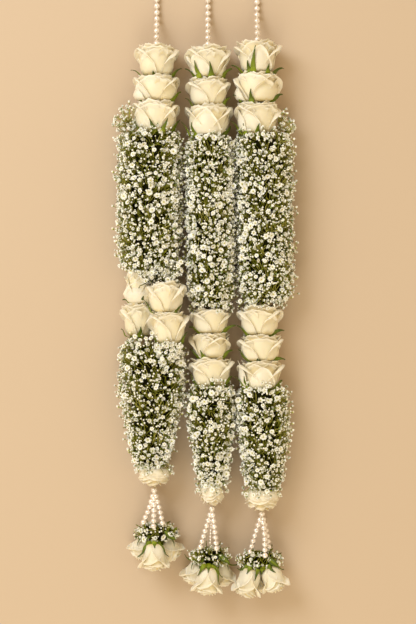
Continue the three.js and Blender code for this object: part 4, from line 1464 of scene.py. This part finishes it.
        turn, t = self.random_spots(TWIG_AREA, 0.01, 0.9)
        starts = self.places(turn, t, (0.62, 0.16), 0.001)
        higher = np.minimum(t + drawn(random, len(t), 0.003, 0.010) / self.sleeve.length, 1)
        aside = turn + 0.5 * (random.random(len(t)) - 0.5)
        ends = self.places(aside, higher, (0.84, 0.14), 0.0012)
        self.add_stems(starts, ends, radius=0.00046, bow=0.0018, tones=(0.45, 0.55))

    def fill_thicket(self, rows=40, columns=28):
        """A near-black rough mass inside: painted shade that stands in for the shadow deep between the
        sprays.
        """
        t = np.linspace(0.012, 0.975, rows)
        turn = np.linspace(0, 2 * np.pi, columns, endpoint=False)
        rough = drawn(self.random, (rows, columns), 0.56, 0.10)
        rough[0] = rough[-1] = 0.30
        grid = self.sleeve.at(turn[None, :], t[:, None] + 0 * turn[None, :], rough)
        index = np.arange(grid[..., 0].size).reshape(rows, columns)
        walls = ring_walls(index)[:, [0, 3, 2, 1]]
        ends = [index[:1], index[-1:, ::-1]]
        self.thicket.add(above_table(grid, 0.0022), [walls, *ends], self.random.random(index.size))

    def grow_over_groove(self, way):
        """Florets that lean from a shoulder of the sleeve, right for +1, over the next sleeve."""
        random = self.random
        count = int(self.sleeve.length * SHOULDER_WIDTH / SHOULDER_AREA)
        turn = way * drawn(random, count, 0.70, 0.50)
        t = drawn(random, count, 0.02, 0.95)
        places = self.places(turn, t, (1.00, 0.07))
        outward = self.sleeve.outward(turn)
        looks = unit(outward + [0, 0, 0.9])
        self.add_both(places, looks, 0.7, (0.0030, 0.0020), 0.7, (0.0016, 0.0009))
        scattered = 0.002 * random.normal(size=(count, 3))
        roots = above_table(places - outward * 0.007 - [0, 0.005, 0] + scattered, 0.001)
        self.add_stems(roots, places - looks * 0.001, radius=0.00042, bow=0.0012, tones=(0.35, 0.6))

    def pieces(self, name):
        for shape, kind, material in (
            (self.florets, "florets", FLORET),
            (self.buds, "buds", FLORET),
            (self.stems, "stems", STEM),
            # the near-black mass of painted shade
            (self.thicket, "thicket", PAINTED_SHADE_FINISH),
        ):
            shape.piece(f"{name}_{kind}", material, "gypsophila", [name])


def strand_sleeve(strand, size):
    """A sleeve that fills out from its lower end and is drawn in at both."""
    (cap_x, cap_y), (rim_x, rim_y) = strand.cap, strand.rim
    slope = (rim_x - cap_x) / (rim_y - cap_y)

    def thread_x(y):
        return cap_x + slope * (y - cap_y)

    def middle_x(y):
        return thread_x(y) + size.offset

    def swell(t):
        body = size.taper + (1 - size.taper) * np.minimum(t / size.full_at, 1)
        return body * np.minimum(0.68 + t * 5, 1) * np.minimum(0.78 + (1 - t) * 5, 1)

    half_height = AXIS_HEIGHT + 0.0015
    return Sleeve(size.low, size.high, middle_x, thread_x, size.half_width, AXIS_HEIGHT, half_height, swell)


# Tufts: where they grow from, how far they lean aside in radians, how far they reach, and florets.
TUFTS = {
    "left": ((-0.0760, 0.2250, 0.028), (-0.30, -1.20), (0.052, 0.042), 105),
    "right": ((0.0880, 0.2230, 0.028), (0.18, 1.10), (0.045, 0.028), 70),
}
# The sprays behind the left strand's second roses: their middle, half their size, their count,
# and the bare twig that lies over them.
BEHIND_RIM = (
    (-0.0530, 0.0600, 0.041),
    (0.0245, 0.0125, 0.019),
    190,
    np.array([
        (-0.0650, 0.0530, 0.054),
        (-0.0700, 0.0475, 0.0565),
        (-0.0760, 0.0440, 0.0555),
        (-0.0800, 0.0425, 0.0548),
        (-0.0815, 0.0395, 0.0545),
    ]),
)
GROOVES = {"left": (1,), "middle": (-1, 1), "right": (-1,)}   # on which sides of a strand
STRAYS = {"upper": 34, "lower": 26}
SLEEVE_SEEDS = {"upper": 300, "lower": 310}


def strand_sleeves():
    for number, (side, strand) in enumerate(STRANDS.items()):
        for part, size in (("upper", strand.upper), ("lower", strand.lower)):
            sleeve = strand_sleeve(strand, size)
            sprays = Sprays(sleeve, SLEEVE_SEEDS[part] + number)
            sprays.grow_forks()
            sprays.grow_florets()
            sprays.grow_over_flower(*size.hang, sleeve.low, -1)
            sprays.grow_over_flower(*size.climb, sleeve.high, 1)
            if (side, part) == ("left", "lower"):
                sprays.grow_over_rose("left_middle_front_rose_1")
            if (side, part) == ("left", "upper"):
                sprays.grow_behind_rim(*BEHIND_RIM)
            sprays.grow_strays(STRAYS[part])
            if part == "upper" and side in TUFTS:
                sprays.grow_tuft(*TUFTS[side])
            sprays.grow_leaves()
            sprays.fill_thicket()
            for way in GROOVES[side]:
                sprays.grow_over_groove(way)
            sprays.pieces(f"{side}_{part}_gypsophila")


strand_sleeves()

# ------------------------------------------------------------------ cap roses

# A cap rose opens downwards: its layers step inwards like the outside of a dome.
CAP_RINGS = [
    (5, 1.07, 0.52, 50, 0.0, 0.50, 0.0007),
    (5, 1.00, 0.68, 48, 0.0, 0.50, 0.0007),
    (4, 0.88, 0.81, 56, 0.0, 0.50, 0.0007),
    (4, 0.70, 0.91, 58, 0.0, 0.50, 0.0007),
    (3, 0.48, 0.98, 76, 0.1, 0.45, 0.0006),
    (2, 0.26, 1.00, 110, 0.1, 0.30, 0.0004),
]
CAP_SIZES = {"left": (0.0230, 0.0200), "middle": (0.0250, 0.0152), "right": (0.0265, 0.0213)}


def frame_along(base, direction):
    """The frame of a bloom that opens along this direction, its front turned to +Z."""
    y = Vector(direction).normalized()
    z = (Vector((0, 0, 1)) - y * y.z).normalized()
    x = y.cross(z)
    turned = Matrix((x, y, z)).transposed().to_4x4()
    return Matrix.Translation(base) @ turned


def cap_roses():
    for number, (side, (length, radius)) in enumerate(CAP_SIZES.items()):
        x, y = STRANDS[side].cap
        random = np.random.default_rng(400 + number)
        shape = Shape()
        place = frame_along((x, y + 0.0015, AXIS_HEIGHT), (0, -1, 0))
        bloom(shape, place, [], CUP, radius, length, random, rings=CAP_RINGS, drop=0.24, frill=0.012,
              bulge=0.0012)
        shape.piece(side + "_cap_petals", CAP_PETAL, "cap_petal", [side + "_cap_rose"])


# ------------------------------------------------------------------ tassels

BELL_RINGS = [
    (3, 0.90, 0.97, 74, 0.02, 0.40, 0.0004),
    (3, 0.80, 1.02, 80, 0.06, 0.30, 0.0004),
    (3, 0.66, 1.06, 84, 0.14, 0.20, 0.0004),
    (3, 0.50, 1.08, 92, 0.20, 0.10, 0.0003),
    (2, 0.32, 1.07, 120, 0.20, 0.05, 0.0002),
]
BELL_SIDE = dict(drop=0.62, point=2.8, tip=0.16, roll=0.0008, frill=0.008, bulge=0.0010, lip=0.25)


@dataclass
class TasselRose:
    """A small rose of a tassel, in millimetres."""

    base: tuple         # to the right of the tassel's middle, below its collar, above the table
    hang: tuple         # the direction it opens in
    radius: float
    length: float
    aim: float          # how far its petals are turned round it to the right, in degrees
    sepals: list        # as for the large roses: to the right, and towards the rim


TASSEL_ROSES = {
    "left": [
        TasselRose((-9.0, 12.0, 16.0), (-0.80, -1, 0.0), 15.0, 24, -20, [(-6, -20, 4), (2, 4, 9)]),
        TasselRose((9.5, 12.0, 16.0), (0.90, -1, 0.0), 15.0, 27, 20, [(8, 21, 6), (-2, -3, 9)]),
        TasselRose((0.5, 13.5, 38.0), (0.0, -1, 0.16), 18.5, 31, 4, [(-7, -21, 18), (5, 18, 17), (0, 1, 6)]),
    ],
    "middle": [
        TasselRose((-12.5, 11.5, 16.0), (-0.58, -1, 0.0), 14.5, 28, -20, [(-8, -23, 1), (1, 3, 8)]),
        TasselRose((11.0, 11.5, 16.0), (0.30, -1, 0.0), 14.0, 29, 20, [(7, 22, 9), (-2, -4, 8)]),
        TasselRose((-2.5, 15.0, 38.0), (-0.08, -1, 0.16), 18.0, 32, 4,
                   [(-5, -13, 12), (8, 16, 22), (11, 19, 12), (0, 0, 7)]),
    ],
    "right": [
        TasselRose((-11.5, 13.5, 34.0), (-0.26, -1, 0.10), 17.5, 34, -14,
                   [(-6, -18, 5), (-3, -5, 8), (8, 7, 14)]),
        TasselRose((10.0, 12.5, 31.0), (0.38, -1, 0.12), 17.0, 30, 12,
                   [(-1, 6, 9), (10, 17, 10), (-8, -12, 6)]),
        TasselRose((-1.0, 14.9, 12.9), (0.0, -1, 0.01), 12.0, 30, 0, [(3, 6, 9)]),
    ],
}
TASSEL_RECEPTACLE = [(0.0026, -0.005), (0.0050, -0.0022), (0.0052, -0.0008), (0.0030, 0.0008)]


def bell_petals(aim, random):
    """The flared petals of a tassel rose, with a pointed corner at each side."""
    petals = [
        Petal(aim + 180 + wobble(random, 15), 0.93, 80, 0.92, 0.35, 1.6, 0.8),
        Petal(aim + 26 + wobble(random, 10), 0.955, 72, 0.90, 0.34, 2.2, 0.6, ripple=0.0005, bulge=0.0010),
    ]
    for angle, fit in ((-74, 0.98), (80, 0.955)):
        petals.append(
            Petal(aim + angle + wobble(random, 8), fit, 82, 0.92, reflex=1.15 + wobble(random, 0.15),
                  **BELL_SIDE)
        )
    return petals


def tassel_sepals(shape, place, sepals, radius, height, random):
    """The receptacle of a tassel rose, the sepals that show and two more behind."""
    shape.add_placed(place, *turned_lathe(TASSEL_RECEPTACLE, 14), RECEPTACLE_TONE)
    for foot, tip_x, tip_y in sepals:
        width = 0.0042 + 0.0014 * random.random()
        tip = (-tip_x / 1000, tip_y / 1000)
        sepal = sepal_between(-foot / 1000, tip, width, radius, BELL, height, random, clear=0.0012)
        shape.add_placed(place, *sepal)
    for angle in (130 + 20 * random.random(), 205 + 20 * random.random()):
        shape.add_placed(place, *splayed_sepal(angle, radius, height))


# The strings of each tassel: where they end, to the right of its middle, above its collar and above
# the table in millimetres, how far they bow to the right, and their beads.
TASSEL_STRINGS = {
    "left": [
        ((-14.0, 11.0, 37), 1.5, TASSEL_BEADS),
        ((-0.5, 5.0, 43), 0, TASSEL_BEADS),
        ((11.5, 7.5, 38), 0.5, TASSEL_BEADS),
    ],
    "middle": [
        ((-12.5, 10.5, 38), 0, TASSEL_BEADS),
        ((-0.5, 12.5, 36), 0, SEED_BEADS),
        ((8.0, 3.0, 44), 0.5, TASSEL_BEADS),
    ],
    "right": [
        ((-13.5, 6.5, 37), 0, TASSEL_BEADS),
        ((5.0, 2.0, 44), 1.5, TASSEL_BEADS),
        ((10.5, 8.5, 33), 1.0, TASSEL_BEADS),
    ],
}
PEARL_SEEDS = {"left": 123, "middle": 67, "right": 130}
FIRST_GAPS = (0.0006, 0.0036, 0.0006)   # of each string's first pearl to the single one above


def tassel_pearls(side, strand):
    start = np.array([strand.cap[0], strand.bead_y, AXIS_HEIGHT])
    pearls, thread = Shape(), Shape()
    random = np.random.default_rng(PEARL_SEEDS[side])
    down = np.array([[0, -1.0, 0]])
    scatter(pearls, bead_model(TASSEL_TOP_BEAD), start[None], down, np.zeros(1), np.ones(1), -0.4)
    for (place, bow, beads), gap in zip(TASSEL_STRINGS[side], FIRST_GAPS):
        right, rise, height = np.array(place) / 1000
        end = np.array([strand.tassel_x + right, strand.collar_y + rise, height])
        middle = (start + end) / 2 + [bow / 1000, 0, -TASSEL_SAG]
        route = curve_through([start, middle, end], 60)
        thread.add(*tube_of(route, min(THREAD, beads.radius * 0.3), 8), 0.9)
        first = TASSEL_TOP_BEAD + TASSEL_BEADS.radius + gap
        count = int((distances_along(route)[-1] - first) / beads.pitch) + 1
        beads_along(pearls, route, first + beads.pitch * np.arange(count), beads.radius, random)
    pearls.piece(side + "_tassel_beads", PEARL, "pearl", [side + "_tassel_pearls"])
    thread.piece(side + "_tassel_threads", COTTON, "thread", [side + "_tassel_pearls"])


COLLAR_MIDDLE = 0.0245          # height of a collar's middle above the table
COLLAR_HALF_HEIGHT = 0.0225
COLLAR_REACH = (0.009, 0.012)   # down and up from the middle
HEAD_HEIGHT = 0.024             # of the middle that the crown's leaves spread from
# The collars: how far they sit to the right of the tassel's middle and down, and their half width.
COLLARS = {
    "left": (0.0030, 0.0018, 0.0280),
    "middle": (0.0, 0.0030, 0.0262),
    "right": (-0.0018, 0.0045, 0.0300),
}
# The lance-shaped leaves of a crown: direction, length, width and bend.
CROWN_LEAVES = [
    ((-0.4, -0.2, 0.9), 0.013, 0.0040, 0.5),
    ((0.35, 0.5, 0.8), 0.012, 0.0032, 0.3),
    ((-0.9, -0.5, 0.2), 0.018, 0.0036, 0.9),
    ((0.1, -0.9, 0.7), 0.012, 0.0045, 0.4),
    ((0.8, -0.5, 0.3), 0.018, 0.0036, 0.9),
]


def lance_leaf(length, width, bend, rows=11):
    """A pointed leaf along +Z, folded along its midrib and bent over."""
    v = np.linspace(0, 1, rows)
    half = width / 2 * np.sin(np.pi * v**0.8) ** 0.8 + 0.0002
    across = np.linspace(-1, 1, STRIP_COLUMNS)
    lean = bend * v**1.5
    step = length / (rows - 1)
    z = np.concatenate([[0], np.cumsum(step * np.cos(lean[1:]))])
    drop = np.concatenate([[0], np.cumsum(step * np.sin(lean[1:]))])
    x = half[:, None] * across[None, :]
    y = -drop[:, None] + 0.45 * half[:, None] * np.abs(across)[None, :]
    grid = np.stack([x, y, np.repeat(z[:, None], STRIP_COLUMNS, axis=1)], axis=-1)
    points, faces = sheet_of(grid, 0.0004)
    tone = 0.75 + 0.15 * np.abs(across)[None, :] - 0.3 * (across[None, :] == 0) + 0 * v[:, None]
    return points, faces, both_faces(tone)


def crown_leaves(crown, head, random):
    """Five leaves all round the tassel's head, and a broad one that lies over the collar."""
    for direction, length, width, bend in CROWN_LEAVES:
        direction = unit(np.array(direction))
        place = head + direction * [0.016, 0.004, 0.013]
        spin = np.array([random.random() * 0.6 - 0.3])
        scatter(crown, lance_leaf(length, width, bend), place[None], direction[None], spin, np.ones(1))
    place = head + [0.010, 0.005, 0.0185]
    direction = np.array([[0.75, -0.62, 0.02]])
    scatter(crown, lance_leaf(0.019, 0.0072, 0.5), place[None], direction, np.full(1, 1.57), np.ones(1))


def collar(side, head, half_width, seed):
    """The gypsophila round the head of a tassel."""

    def middle_x(y):
        return head[0] + 0 * y

    def swell(t):
        return np.sqrt(np.maximum(1 - (1.7 * t - 0.75) ** 2, 0.05))

    low, high = head[1] - COLLAR_REACH[0], head[1] + COLLAR_REACH[1]
    sleeve = Sleeve(low, high, middle_x, middle_x, half_width, COLLAR_MIDDLE, COLLAR_HALF_HEIGHT, swell)
    sprays = Sprays(sleeve, seed)
    sprays.grow_forks()
    sprays.grow_florets()
    sprays.grow_leaves()
    sprays.fill_thicket()
    sprays.pieces(side + "_tassel_gypsophila")


def tassels():
    for number, (side, strand) in enumerate(STRANDS.items()):
        random = np.random.default_rng(500 + number)
        crown = Shape()
        for k, rose in enumerate(TASSEL_ROSES[side]):
            right, below, above = np.array(rose.base) / 1000
            base = (strand.tassel_x + right, strand.collar_y - below, above)
            place = frame_along(base, rose.hang)
            radius, length = rose.radius / 1000, rose.length / 1000
            shape = Shape()
            bloom(shape, place, bell_petals(rose.aim, random), BELL, radius, length, random,
                  rings=BELL_RINGS, drop=0.12, frill=0.012)
            name = f"{side}_tassel_rose_{k + 1}"
            shape.piece(name + "_bloom", PETAL, "petal", [name])
            tassel_sepals(crown, place, rose.sepals, radius, length, random)
        aside, down, half_width = COLLARS[side]
        head = np.array([strand.tassel_x + aside, strand.collar_y - down, HEAD_HEIGHT])
        crown_leaves(crown, head, random)
        crown.piece(side + "_tassel_sepals", GREEN, "sepal", [side + "_tassel_calyx"])
        tassel_pearls(side, strand)
        collar(side, head, half_width, 520 + number)


THREAD_BELOW_CAP = 0.021
THREAD_UNDER_RIM = 0.009


def garland_threads():
    """The thread inside each strand, from the top rose to the tassel's pearl."""
    for side, strand in STRANDS.items():
        (cap_x, cap_y), (rim_x, rim_y) = strand.cap, strand.rim
        low = np.array([cap_x, cap_y - THREAD_BELOW_CAP, AXIS_HEIGHT])
        high = np.array([rim_x, rim_y - THREAD_UNDER_RIM, AXIS_HEIGHT])
        path = low + np.linspace(0, 1, 40)[:, None] * (high - low)
        cord = thread_along(path, 0.9)
        cord.piece(side + "_garland_cord", COTTON, "thread", [side + "_garland_thread"])


cap_roses()
tassels()
garland_threads()
